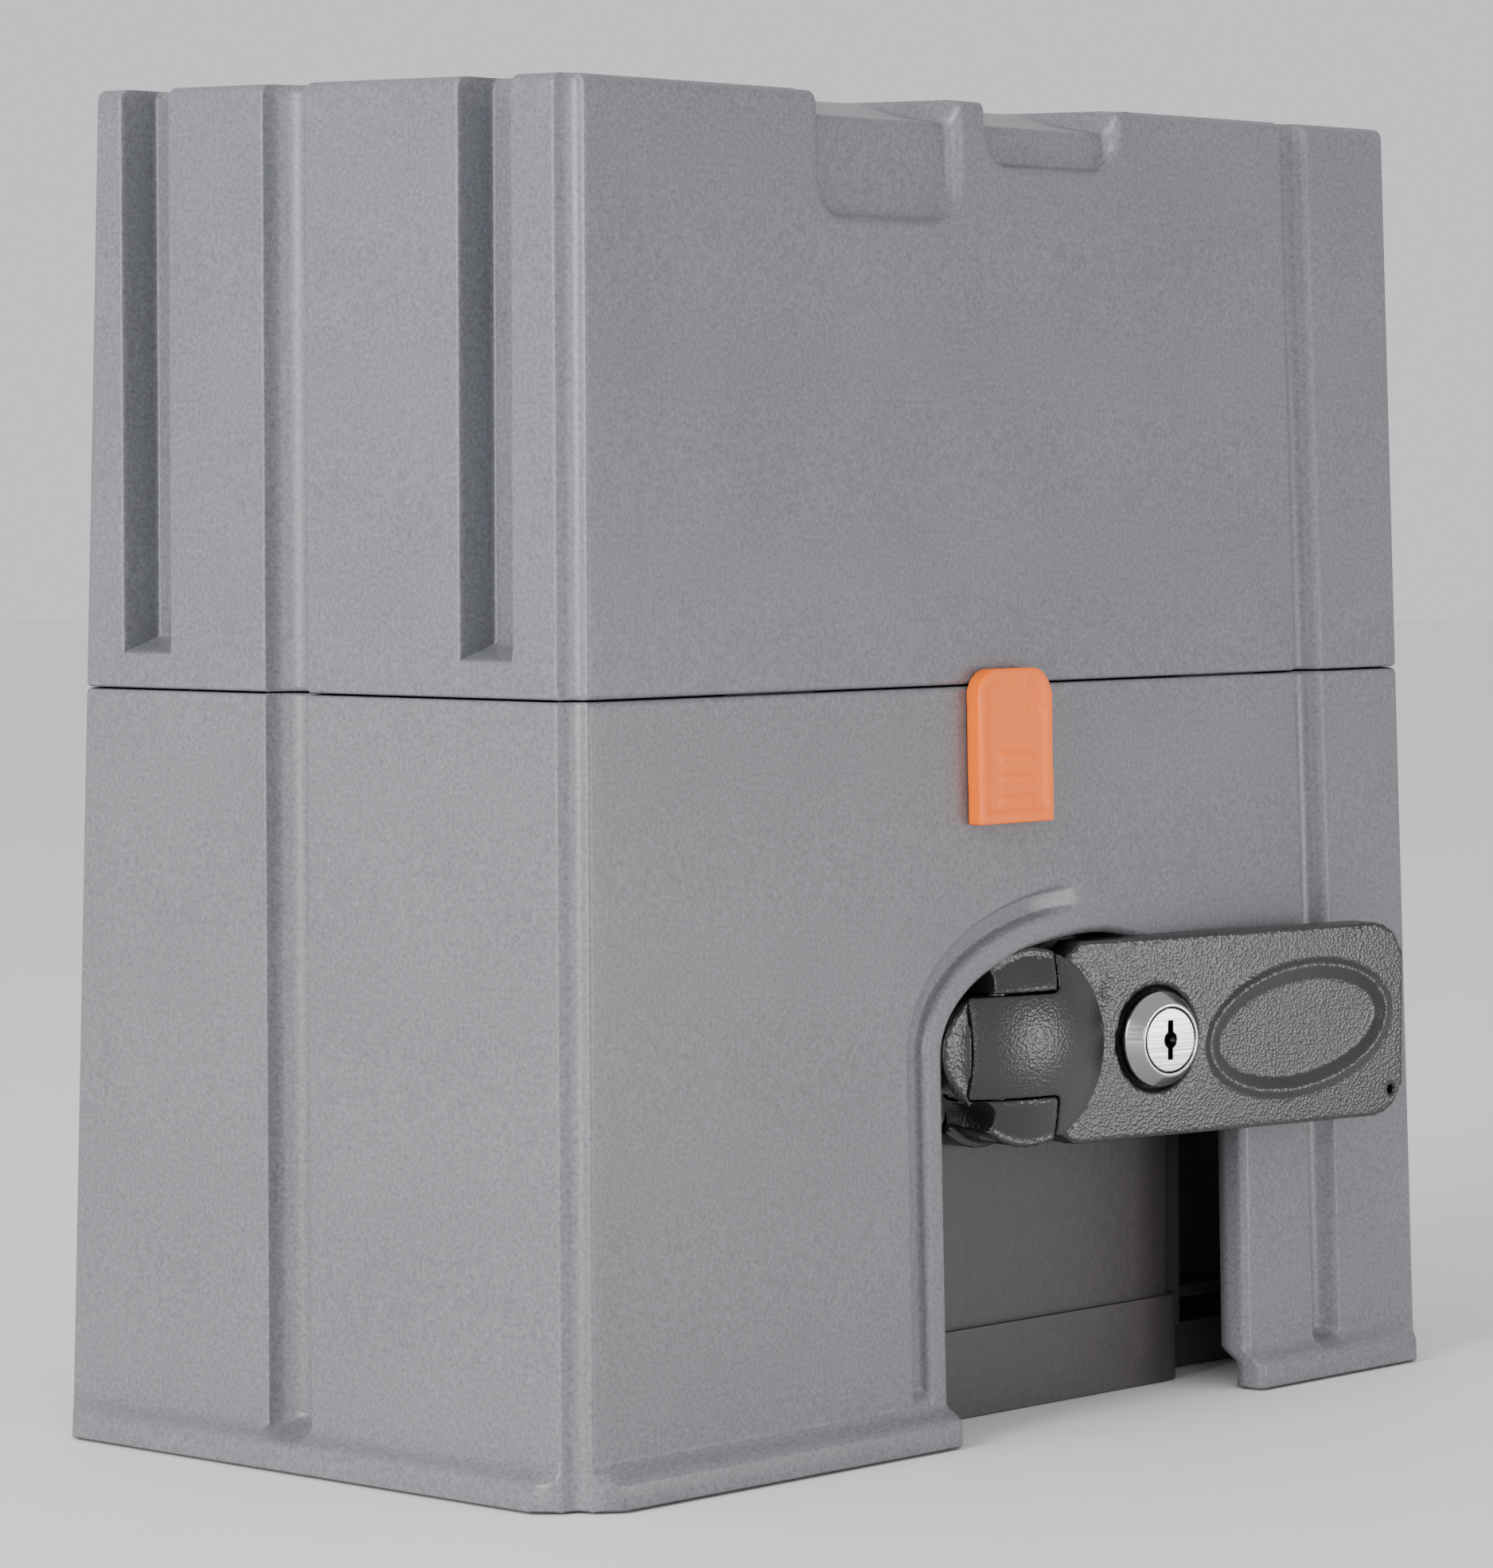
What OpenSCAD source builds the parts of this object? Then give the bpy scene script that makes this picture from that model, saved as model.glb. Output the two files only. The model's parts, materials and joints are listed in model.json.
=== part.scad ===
// Sliding gate operator: a two-part plastic cover over a worm gearmotor,
// with a key-locked manual release lever, a control board and a rear pinion.
// Millimetres. Origin: middle of the base on the ground. +X along the front
// to the right, +Y to the rear, +Z up. The front looks along -Y.

/* [Cover] */
// width of the cover wall at the ground
cover_w = 279; // [240:320]
// depth of the cover wall at the ground
cover_d = 154.2; // [130:180]
// height of the cover at its front edge
cover_h = 280; // [240:320]
// rise of the top from the front edge to the back edge
top_rise = 3.5; // [0:6]
// height of the seam between the two covers
seam_z = 158; // [140:175]
// wall thickness of both covers
wall = 3; // [2:4]
// inward lean of each wall per millimetre of height
draft = 0.0204; // [0:0.03]
// plan radius of the cover's vertical corners
corner_r = 6; // [5:12]
// step of the ground flange beyond the wall
flange_out = 4.3; // [3:6]
// height of the ground flange
flange_h = 7; // [5:9]
// radius of the groove along each corner
corner_groove_r = 3.2; // [2:4]

/* [Front opening] */
// left edge of the opening in the lower cover
cut_x0 = -28; // [-35:-25]
// right edge of the opening
cut_x1 = 72.5; // [65:80]
// height where the opening starts to arch
cut_spring_z = 81; // [75:90]
// height of the arch's crown
cut_top_z = 103.9; // [100:110]

/* [Output] */
// height of the output shaft's axis
shaft_z = 81; // [75:90]
// radius of the output shaft
shaft_r = 10; // [9:12]
// teeth on the worm wheel
wheel_teeth = 30; // [30:30]
// pitch radius of the worm wheel
wheel_pitch_r = 30; // [30:30]
// axial lead of the worm's single thread
worm_lead = 6.2832; // [6:6.5]
// pitch radius of the worm
worm_pitch_r = 10; // [9:11]
// teeth on the output pinion
pinion_teeth = 17; // [15:20]
// module of the output pinion
pinion_module = 4; // [4:6]
// width of the output pinion
pinion_w = 22; // [18:30]

/* [Release] */
// angle at which the closed lever stands off the front
lever_angle = 10; // [0:15]
// radius of the round release hub
hub_r = 20; // [18:22]
// height of the hub's domed front
dome_h = 5; // [3:7]
// thickness of the lever's arm
lever_t = 8; // [7:10]
// reach of the lever beyond the hub's axis
lever_len = 109.5; // [90:115]
// radius of the lever's knuckle about its hinge pin
knuckle_r = 11.4; // [10:12]
// radius of the fixed lugs about the hinge pin
lug_r = 13.4; // [12:14]
// travel of the release rod over the lever's full swing
rod_travel = 5.445; // [4:7]
// full swing of the lever in degrees
lever_swing = 80; // [60:90]

/* [Motor] */
// side of the square stator stack
stator_w = 90; // [80:100]
// bottom of the stator stack
stator_z = 148; // [140:160]
// height of the stator stack
stator_h = 55; // [40:70]

/* [Hidden] */
eps = 0.02;
draft_a = atan(draft);
hw = cover_w / 2;
hd = cover_d / 2;
worm_x = wheel_pitch_r + worm_pitch_r;
hub_y = -74.6;
gear_y0 = -55;
gear_y1 = 50;
gear_top = 118;
dome_rad = (hub_r * hub_r + dome_h * dome_h) / (2 * dome_h);
pin_lx = -6;
pin_ly = 4;
lock_x = 36.5;
lock_z = 80.6;
lever_z0 = 59.3;
lever_z1 = 102.6;
tongue_z0 = 71.3;
tongue_z1 = 91.8;
rod_tip_y = -64.9;
mate_gap = 0.3;
pinion_y = 84;
board_y = -40;
cream = [0.9, 0.88, 0.8];

// A straight round groove form from a up to b.
module bar(a, b, r) {
    hull() {
        translate(a) cylinder(r = r, h = eps, $fn = 24);
        translate(b) cylinder(r = r, h = eps, $fn = 24);
    }
}

// One thin slice of the cover's outline at height z, inset from the wall.
module slice(z, inset, rise) {
    r = max(corner_r - inset, 2);
    x = hw - draft * z - inset - r;
    y = hd - draft * z - inset - r;
    for (sx = [-1, 1], sy = [-1, 1])
        translate([sx * x, sy * y, z + rise * (sy + 1) / 2])
            cylinder(r = r, h = eps, $fn = 32);
}

// The drafted outline between two heights.
module prism(z0, z1, inset, rise, edge) {
    hull() {
        slice(z0, inset, 0);
        if (edge > 0) slice(z1 - edge - eps, inset, rise);
        slice(z1 - eps, inset + edge, rise);
    }
}

// A point on a wall's outer face: side walls take x sign, front and back take y sign.
function wall_x(z) = hw - draft * z;
function wall_y(z) = hd - draft * z;

// Vertical stiffening grooves, as solids to cut, grown by g for their backing.
module corner_cuts(z0, z1, g) {
    o = 1;
    for (sx = [-1, 1], sy = [-1, 1])
        bar([sx * (wall_x(z0) - o), sy * (wall_y(z0) - o), z0],
            [sx * (wall_x(z1) - o), sy * (wall_y(z1) - o), z1], corner_groove_r + g);
}
module face_cuts(z0, z1, g) {
    for (sx = [-1, 1]) bar([sx * (wall_x(z0) - 0.8), 6.8, z0],
        [sx * (wall_x(z1) - 0.8), 6.8, z1], 6.2 + g);
    for (p = [[-1, 1], [1, 1], [1, -1]])
        bar([p[0] * (102 - 0.02 * z0), p[1] * (wall_y(z0) + 1), z0],
            [p[0] * (102 - 0.02 * z1), p[1] * (wall_y(z1) + 1), z1], 4.8 + g);
}
module deep_cuts(z0, z1, g) {
    for (sx = [-1, 1], yc = [49, -51.5])
        translate([sx * wall_x(z0), yc, z0]) rotate([0, -sx * draft_a, 0])
            translate([-10 - g, -7.2 - g, -g]) cube([20 + 2 * g, 14.4 + 2 * g, z1 - z0 + 2 * g]);
}

// Outline of the front opening, grown by e.
module cut_shape(e) {
    $fn = 64;
    w = (cut_x1 - cut_x0) / 2;
    xm = (cut_x0 + cut_x1) / 2;
    h = cut_top_z - cut_spring_z;
    translate([cut_x0 - e, -5]) square([2 * w + 2 * e, cut_spring_z + 5]);
    translate([xm, cut_spring_z]) scale([1, (h + e) / (w + e)]) circle(r = w + e);
    translate([xm, cut_spring_z - 1]) square([w - 7, h + 1 + e]);
    translate([xm, cut_spring_z - 1]) square([w + e, h - 6]);
    translate([cut_x1 - 7, cut_top_z - 7]) circle(r = 7 + e);
}
// Places a front-face outline on the leaning front wall, d deep and t thick.
module on_front(d, t) {
    translate([0, -hd, 0]) rotate([-draft_a, 0, 0]) translate([0, d, 0]) rotate([90, 0, 0])
        linear_extrude(t) children();
}
module rear_slot(e) {
    translate([0, hd + 12, 0]) rotate([90, 0, 0]) linear_extrude(26) {
        translate([-33 - e, -5]) square([66 + 2 * e, shaft_z + 5]);
        translate([0, shaft_z]) circle(r = 33 + e, $fn = 64);
    }
}

module lower_cover() color([0.42, 0.44, 0.46]) difference() {
    union() {
        difference() {
            union() {
                prism(0, seam_z, 0, 0, 0);
                prism(0, flange_h, -flange_out, 0, 1);
            }
            translate([0, 0, -1]) prism(0, seam_z + 3, wall, 0, 0);
        }
        intersection() {
            prism(0, seam_z, 0.5, 0, 0);
            union() {
                corner_cuts(0, seam_z, 2.4);
                face_cuts(0, seam_z, 2.4);
                on_front(9, 8) cut_shape(2.6);
                on_front(6, 5.5) arch_band(3, 13.5, 8);
            }
        }
        for (sx = [-1, 1]) translate([sx * 118 - 19, -22, 10.1]) cube([38, 14, 3]);
        for (sy = [-1, 1], x = [-88, 58]) {
            translate([x, sy * 69.3 - 1, seam_z - 8]) cube([26, 2, 13]);
            translate([x, sy * 70.8 - 1, seam_z - 8]) cube([26, 2, 7.5]);
        }
    }
    corner_cuts(-12, seam_z + 9, 0);
    face_cuts(6, seam_z + 9, 0);
    on_front(12, 30) cut_shape(0);
    on_front(2, 6) arch_band(6, 11, 11);
    rear_slot(0);
    translate([-14.6, -90, 132.5]) cube([14, 30, 18]);
    for (sx = [-1, 1]) translate([sx * 104, -15, 5]) cylinder(r = 2.75, h = 12);
}
// The shallow groove that follows the left side and the crown of the opening.
module arch_band(e0, e1, z0) {
    intersection() {
        difference() {
            cut_shape(e1);
            cut_shape(e0);
        }
        translate([-60, z0]) square([77, 130]);
    }
}

module upper_cover() color([0.44, 0.47, 0.5]) difference() {
    union() {
        difference() {
            prism(seam_z + 0.3, cover_h, 0, top_rise, 1.6);
            prism(seam_z - 5, cover_h - wall, wall, top_rise, 0);
        }
        intersection() {
            prism(seam_z + 0.3, cover_h, 0.5, top_rise, 1.6);
            union() {
                corner_cuts(seam_z, cover_h + 5, 2.4);
                face_cuts(seam_z, cover_h + 5, 2.4);
                deep_cuts(167, cover_h + 6, 2.4);
                translate([-67, -hd - 2, 249]) cube([106, 15, 20]);
                translate([-67, -hd - 2, 268]) cube([106, 50, 20]);
            }
        }
    }
    corner_cuts(seam_z - 5, cover_h + 9, 0);
    face_cuts(seam_z - 5, cover_h + 9, 0);
    deep_cuts(167, cover_h + 9, 0);
    grip(-61.5, -18, 254.7);
    grip(-9, 34, 267);
}
// One bay of the hand grip: a shallow recess in the wall that opens over the top edge.
module grip(x0, x1, z0) {
    translate([0, -wall_y(cover_h) + 3, 0]) rotate([-draft_a, 0, 0]) rotate([90, 0, 0])
        linear_extrude(12) {
            translate([x0, z0 + 8]) square([x1 - x0, 40]);
            translate([x0 + 8, z0]) square([x1 - x0 - 16, 20]);
            translate([x0 + 8, z0 + 8]) circle(r = 8);
            translate([x1 - 8, z0 + 8]) circle(r = 8);
        }
    translate([x0, 0, 0]) rotate([90, 0, 90]) linear_extrude(x1 - x0)
        polygon([[-90, 275.6], [-66, 275.6], [-32, 281.9], [-32, 300], [-90, 300]]);
}

module port_cap() color([0.95, 0.38, 0.1]) {
    difference() {
        on_front(-0.25, 3.9) cap_shape(0);
        on_front(-3.75, 3) cap_shape(-2.4);
    }
    on_front(-0.25, 3.3) cap_shape(-2.2);
    on_front(-3, 1.1) for (z = [133, 137.5, 142]) translate([-12.6, z]) square([10, 1.6]);
    on_front(8.5, 9) translate([-14.2, 132.9]) square([13.2, 17.2]);
}
module cap_shape(e) {
    translate([-19.5 - e, 129 - e]) square([23.8 + 2 * e, 26 + 2 * e]);
    translate([-13.5 - e, 129 - e]) square([11.8 + 2 * e, 32.5 + 2 * e]);
    for (x = [-13.5, -1.7]) translate([x, 155.5]) circle(r = 6 + e);
}

// ---- gearbox ----
module round_box(x0, x1, z0, z1, r) {
    translate([x0 + r, z0]) square([x1 - x0 - 2 * r, z1 - z0]);
    translate([x0, z0 + r]) square([x1 - x0, z1 - z0 - 2 * r]);
    for (x = [x0 + r, x1 - r], z = [z0 + r, z1 - r]) translate([x, z]) circle(r = r);
}
module slab_y(y0, y1) {
    translate([0, y1, 0]) rotate([90, 0, 0]) linear_extrude(y1 - y0) children();
}
module tube_y(x, z, y0, y1, r) {
    translate([x, y1, z]) rotate([90, 0, 0]) cylinder(r = r, h = y1 - y0);
}
cover_holes = [[-40, 26], [-40, 92], [70, 26], [70, 92], [15, 5], [15, 114]];
anchor_x = 95;
anchor_y = 35;

module gearbox_housing() color([0.09, 0.085, 0.085]) difference() {
    union() {
        difference() {
            translate([0, 0, 0]) linear_extrude(gear_top) {
                translate([-46, gear_y0 + 6]) square([122, gear_y1 - gear_y0 - 6]);
                translate([-40, gear_y0]) square([110, 20]);
                for (x = [-40, 70]) translate([x, gear_y0 + 6]) circle(r = 6);
            }
            slab_y(-25, gear_y1 + 1) round_box(-37, 64, 36, 110, 6);
            slab_y(-47, gear_y1 + 1) round_box(-37, 66, 9, 31, 4);
        }
        translate([0, 0, 0]) linear_extrude(19) {
            translate([-46, gear_y0 - 1.5 + 7]) square([123.5, 20]);
            translate([-39, gear_y0 - 1.5]) square([109.5, 20]);
            for (x = [-39, 70.5]) translate([x, gear_y0 + 5.5]) circle(r = 7);
        }
        translate([-112, -46, 0]) cube([224, 92, 10]);
        tube_y(0, shaft_z, -40, -19, 25);
        translate([worm_x, 0, 36]) cylinder(r = 18, h = 15);
    }
    tube_y(0, shaft_z, -9, 9, 33);
    tube_y(0, shaft_z, -51, -10, 21.02);
    tube_y(0, shaft_z, -60, -10, 11);
    translate([worm_x, 0, 42]) cylinder(r = 14.02, h = 30);
    translate([worm_x, 0, 100]) cylinder(r = 17.52, h = 30);
    for (p = cover_holes) tube_y(p[0], p[1], gear_y1 - 16, gear_y1 + 1, 2.1);
    for (sx = [-1, 1], sy = [-1, 1]) translate([sx * anchor_x, sy * anchor_y, -1])
        linear_extrude(12) {
            for (o = [-4.5, 4.5]) translate([o, 0]) circle(r = 5.5);
            translate([-4.5, -5.5]) square([9, 11]);
        }
    for (sx = [-1, 1]) translate([sx * 104, -15, -1]) cylinder(r = 2.1, h = 12);
    translate([-68, -14, -1]) cylinder(r = 10.25, h = 12);
    for (x = [-14, 14], z = [67, 95]) tube_y(x, z, gear_y0 - 1, gear_y0 + 3.5, 2.1);
    for (x = [48, 57]) tube_y(x, 96, gear_y0 - 1, gear_y0 + 6, 1.6);
    for (sx = [-1, 1], sy = [-1, 1]) translate([worm_x + sx * 37, sy * 37, gear_top - 14])
        cylinder(r = 2.1, h = 15);
    for (p = [[-80, -36.5], [-56, -36.5]]) translate([p[0], p[1], 2]) cylinder(r = 1.4, h = 9);
}
module gearbox_gasket() color([0.12, 0.12, 0.13])
    slab_y(gear_y1, gear_y1 + 1) difference() {
        round_box(-46, 76, 0, gear_top, 3);
        round_box(-36, 63, 37, 109, 5);
        round_box(-36, 65, 10, 30, 3);
        for (p = cover_holes) translate(p) circle(r = 2.8);
    }
module gearbox_cover() color([0.1, 0.095, 0.095]) difference() {
    union() {
        slab_y(gear_y1 + 1, gear_y1 + 8) round_box(-46, 76, 0, gear_top, 4);
        tube_y(0, shaft_z, gear_y1 + 1, 71, 28);
    }
    tube_y(0, shaft_z, gear_y1, 64, 21.02);
    tube_y(0, shaft_z, gear_y1, 80, 15.02);
    for (p = cover_holes) tube_y(p[0], p[1], gear_y1, 80, 2.75);
    for (x = [50, 66]) tube_y(x, 107, gear_y1 + 4, 80, 1.6);
}
module gearbox_screws() color([0.7, 0.7, 0.72]) for (p = cover_holes) {
    tube_y(p[0], p[1], gear_y1 - 12, gear_y1 + 8.2, 2.05);
    difference() {
        tube_y(p[0], p[1], gear_y1 + 8, gear_y1 + 12, 4.2);
        slab_y(gear_y1 + 10, gear_y1 + 13) translate(p) circle(r = 2.2, $fn = 6);
    }
}
module cover_screws() color([0.7, 0.7, 0.72]) for (sx = [-1, 1])
    translate([sx * 104, -15, 0]) {
        translate([0, 0, 2]) cylinder(r = 2.05, h = 11.2);
        translate([0, 0, 13.1]) difference() {
            cylinder(r = 4.2, h = 3.2);
            translate([0, 0, 1.6]) cylinder(r = 2.2, h = 3, $fn = 6);
        }
    }
// A sealed ball bearing along +Z from z = 0.
module bearing(ri, ro, w) {
    difference() {
        cylinder(r = ro, h = w);
        translate([0, 0, -1]) cylinder(r = ri, h = w + 2);
        for (z = [-1, w - 0.8]) translate([0, 0, z]) difference() {
            cylinder(r = ro - 2, h = 1.8);
            cylinder(r = ri + 2, h = 4, center = true);
        }
    }
}
module at_y(x, y, z) {
    translate([x, y, z]) rotate([-90, 0, 0]) children();
}
module front_bearing() color([0.75, 0.76, 0.78]) at_y(0, -50.9, shaft_z) bearing(10.05, 21, 12);
module rear_bearing() color([0.75, 0.76, 0.78]) at_y(0, 51.5, shaft_z) bearing(10.05, 21, 12);
module shaft_seal() color([0.1, 0.1, 0.1]) at_y(0, 64.2, shaft_z) difference() {
    cylinder(r = 15, h = 6.5);
    translate([0, 0, -1]) cylinder(r = 10.3, h = 9);
}

module output_shaft() color([0.62, 0.63, 0.65]) difference() {
    union() {
        tube_y(0, shaft_z, -50.5, 110, shaft_r);
        tube_y(0, shaft_z, 30.5, 51.3, 12.5);
    }
    tube_y(0, shaft_z, -52, 34, 4.2);
    translate([-20, 13.9, shaft_z - 2.7]) cube([40, 11.4, 5.4]);
    translate([-3, 82, shaft_z + 6.5]) cube([6, 29, 6]);
    tube_y(0, shaft_z, 92, 112, 3.3);
}
module worm_wheel() color([0.72, 0.55, 0.25]) difference() {
    union() {
        translate([0, -7, shaft_z]) rotate([-90, 0, 0])
            linear_extrude(14, twist = -wheel_twist, slices = 3)
                rotate([0, 0, -wheel_twist / 2]) wheel_outline();
        tube_y(0, shaft_z, -17, 9, 18.5);
    }
    tube_y(0, shaft_z, -20, 20, shaft_r + 0.05);
    for (a = [0 : 120 : 240]) translate([0, 0, shaft_z]) rotate([0, a, 0])
        translate([10.8, 3.6, -5]) cube([10, 8, 10]);
}
wheel_twist = 14 * (worm_lead / (2 * PI * worm_pitch_r)) / wheel_pitch_r * 180 / PI;
function pol(r, a) = [r * cos(a), r * sin(a)];
module wheel_outline() {
    step = 360 / wheel_teeth;
    polygon([for (i = [0 : wheel_teeth - 1]) let (a = (i + 0.5) * step)
        for (q = [[27.5, -2.15], [30, -1.2], [31.6, -0.4], [31.6, 0.4], [30, 1.2], [27.5, 2.15]])
            pol(q[0], a + q[1] / q[0] * 180 / PI)]);
}
module pinion_outline() {
    step = 360 / pinion_teeth;
    rp = pinion_teeth * pinion_module / 2;
    polygon([for (i = [0 : pinion_teeth - 1]) let (a = i * step)
        for (q = [[-5, -4.3], [-3.6, -3.9], [0, -3], [2.4, -2.1], [4, -1.2],
                  [4, 1.2], [2.4, 2.1], [0, 3], [-3.6, 3.9], [-5, 4.3]])
            pol(rp + q[0], a + q[1] / (rp + q[0]) * 180 / PI)]);
}
module output_pinion() color([0.55, 0.56, 0.58]) difference() {
    union() {
        at_y(0, pinion_y, shaft_z) linear_extrude(pinion_w) pinion_outline();
        tube_y(0, shaft_z, 80, pinion_y + 1, 19);
    }
    tube_y(0, shaft_z, 78, 112, shaft_r + 0.05);
    translate([-3.05, 78, shaft_z + 5]) cube([6.1, 40, 8.2]);
    for (a = [45 : 90 : 315]) at_y(0, 80.5, shaft_z) rotate([0, 0, a])
        translate([22.5, 0, 0]) cylinder(r = 3.5, h = 40);
}
module pinion_key() color([0.6, 0.6, 0.62])
    translate([-2.95, 82.2, shaft_z + 6.6]) cube([5.9, 24, 6]);
module pinion_washer() color([0.7, 0.7, 0.72]) at_y(0, 110.1, shaft_z) difference() {
    cylinder(r = 15, h = 2.5);
    translate([0, 0, -1]) cylinder(r = 4.2, h = 5);
}
module pinion_bolt() color([0.7, 0.7, 0.72]) at_y(0, 94, shaft_z) {
    cylinder(r = 3.2, h = 19);
    translate([0, 0, 18.7]) cylinder(r = 7.2, h = 5, $fn = 6);
}
module clutch_collar() color([0.5, 0.51, 0.53]) difference() {
    union() {
        tube_y(0, shaft_z, 9.4, 23, 18);
        for (a = [0 : 120 : 240]) translate([0, 0, shaft_z]) rotate([0, a, 0])
            translate([11.2, 4.2, -4.6]) cube([6, 6, 9.2]);
    }
    tube_y(0, shaft_z, 2, 30, shaft_r + 0.06);
    translate([-30, 16.8, shaft_z]) rotate([0, 90, 0]) cylinder(r = 2.53, h = 60);
}
module clutch_pin() color([0.7, 0.7, 0.72])
    translate([-17.5, 16.8, shaft_z]) rotate([0, 90, 0]) cylinder(r = 2.5, h = 35);
module release_rod() color([0.66, 0.67, 0.69]) {
    tube_y(0, shaft_z, rod_tip_y + 2.5, 14.1, 3.9);
    at_y(0, rod_tip_y, shaft_z) cylinder(r1 = 1.4, r2 = 3.9, h = 2.6);
}
module clutch_spring() color([0.6, 0.6, 0.6]) {
    for (y = [20.2 : 2.3 : 33]) at_y(0, y, shaft_z) difference() {
        cylinder(r = 3.7, h = 1.1);
        translate([0, 0, -1]) cylinder(r = 2.6, h = 3);
    }
    for (i = [0 : 4]) translate([2.7, 21.2 + i * 2.3, shaft_z - 0.4]) cube([0.9, 1.4, 0.8]);
}

// ---- manual release ----
module lever_frame() {
    translate([0, hub_y, 0]) rotate([0, 0, -lever_angle]) children();
}
module tube_n(x, z, y0, y1, r) {
    tube_y(x, z, y0, y1, r);
}
module dome_solid(r, back) {
    intersection() {
        tube_y(0, shaft_z, -dome_h - 2, back, r);
        translate([0, dome_rad - dome_h, shaft_z]) sphere(r = dome_rad);
    }
}
module release_hub() color([0.07, 0.07, 0.075]) difference() {
    union() {
        lever_frame() dome_solid(hub_r, 9);
        difference() {
            lever_frame() tube_y(0, shaft_z, -1, 24, hub_r);
            translate([-60, gear_y0, 0]) cube([120, 30, 160]);
        }
        tube_y(0, shaft_z, -62, gear_y0, hub_r + 1.2);
    }
    lever_frame() {
        translate([pin_lx, pin_ly, tongue_z0 - mate_gap])
            cylinder(r = knuckle_r + mate_gap, h = tongue_z1 - tongue_z0 + 2 * mate_gap);
        translate([pin_lx, -20, tongue_z0 - mate_gap])
            cube([60, 20 + pin_ly + 5, tongue_z1 - tongue_z0 + 2 * mate_gap]);
        difference() {
            translate([pin_lx, -20, 40]) cube([60, 20 + lever_t + 0.8, 80]);
            translate([pin_lx, pin_ly, 30]) cylinder(r = lug_r, h = 100);
        }
        translate([pin_lx, pin_ly, 50]) cylinder(r = 3.03, h = 60);
    }
    tube_y(0, shaft_z, -80, -50, 4.1);
    for (x = [-14, 14], z = [67, 95]) tube_y(x, z, -58.5, -54, 2.6);
    for (x = [-14, 14], z = [67, 95]) tube_y(x, z, -90, -58.5, 3.9);
}
module hub_screws() color([0.6, 0.6, 0.62]) for (x = [-14, 14], z = [67, 95]) {
    tube_y(x, z, -58.6, gear_y0 + 3.3, 2.05);
    tube_y(x, z, -60.4, -58.5, 3.6);
}
module hinge_pin() color([0.68, 0.68, 0.7]) lever_frame()
    translate([pin_lx, pin_ly, shaft_z - 17.5]) cylinder(r = 3, h = 35);

module lever_outline() {
    r = 9;
    polygon([[7.2, 64.5], [13, lever_z0], [lever_len - r, lever_z0], [lever_len - r, lever_z1],
        [14.8, lever_z1], [9, 97]]);
    translate([lever_len - r - 1, lever_z0 + r]) square([r + 1, lever_z1 - lever_z0 - 2 * r]);
    for (z = [lever_z0 + r, lever_z1 - r]) translate([lever_len - r, z]) circle(r = r);
}
module release_lever() color([0.05, 0.05, 0.055]) lever_frame() difference() {
    union() {
        slab_y(0, lever_t) lever_outline();
        intersection() {
            translate([0, dome_rad - dome_h, shaft_z]) sphere(r = dome_rad);
            union() {
                intersection() {
                    tube_y(0, shaft_z, -dome_h - 2, lever_t, hub_r);
                    translate([pin_lx, -20, 40]) cube([60, 60, 80]);
                }
                intersection() {
                    tube_y(0, shaft_z, -dome_h - 2, 30, hub_r - 0.4);
                    translate([pin_lx, pin_ly, tongue_z0])
                        cylinder(r = knuckle_r, h = tongue_z1 - tongue_z0);
                }
            }
        }
        slab_y(-0.6, 0.5) difference() {
            oval(27, 14);
            oval(25.6, 12.6);
        }
    }
    difference() {
        translate([pin_lx, pin_ly, 40]) cylinder(r = lug_r + mate_gap, h = 80);
        translate([pin_lx - 30, pin_ly - 30, tongue_z0])
            cube([60, 60, tongue_z1 - tongue_z0]);
    }
    translate([pin_lx, pin_ly, 50]) cylinder(r = 3.06, h = 60);
    tube_y(lock_x, lock_z, -3, 1.6, 11.4);
    tube_y(lock_x, lock_z, -3, 20, 7.9);
    slab_y(-0.8, 0.7) oval(24.2, 11.2);
    slab_y(3, 20) pocket_outline();
    tube_y(106, 65, -1, 20, 1);
    translate([pin_lx, pin_ly, shaft_z - 4.4]) rotate([0, 0, lever_angle])
        linear_extrude(8.8) cam_slot();
}
// The space the rod's end sweeps through, about the hinge pin; its inner edge is the cam.
module cam_slot() {
    px = pin_lx * cos(lever_angle) + pin_ly * sin(lever_angle);
    py = hub_y - pin_lx * sin(lever_angle) + pin_ly * cos(lever_angle);
    polygon(concat([pol(36, 73), [4.25 - px, rod_tip_y - py - 0.35]],
        [for (a = [0 : 8 : lever_swing])
            let (x = -4.25 - px, y = rod_tip_y - py - 0.35 + rod_travel * a / lever_swing)
            [x * cos(a) - y * sin(a), x * sin(a) + y * cos(a)]],
        [pol(36, 168), pol(36, 140), pol(36, 106)]));
}
module oval(a, b) {
    translate([78, 80.5]) rotate(7) scale([1, b / a]) circle(r = a);
}
module pocket_outline() {
    translate([52, lever_z0 + 3]) square([48, lever_z1 - lever_z0 - 6]);
}
module lock_housing() color([0.8, 0.81, 0.83]) lever_frame()
    at_y(lock_x, -4.5, lock_z) difference() {
        union() {
            cylinder(r1 = 7.9, r2 = 10.4, h = 3.2);
            translate([0, 0, 3.2]) cylinder(r = 10.4, h = 1.2);
            translate([0, 0, 4.4]) cylinder(r = 10.4, h = 1.6);
            cylinder(r = 7.8, h = 20.5);
        }
        translate([0, 0, -1]) cylinder(r = 6.0, h = 30);
        translate([0, 0, -1]) cylinder(r = 7.1, h = 1.8);
    }
module lock_nut() color([0.65, 0.65, 0.67]) lever_frame()
    at_y(lock_x, lever_t + 0.1, lock_z) difference() {
        cylinder(r = 10.2, h = 3, $fn = 6);
        translate([0, 0, -1]) cylinder(r = 7.85, h = 5);
    }
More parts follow.
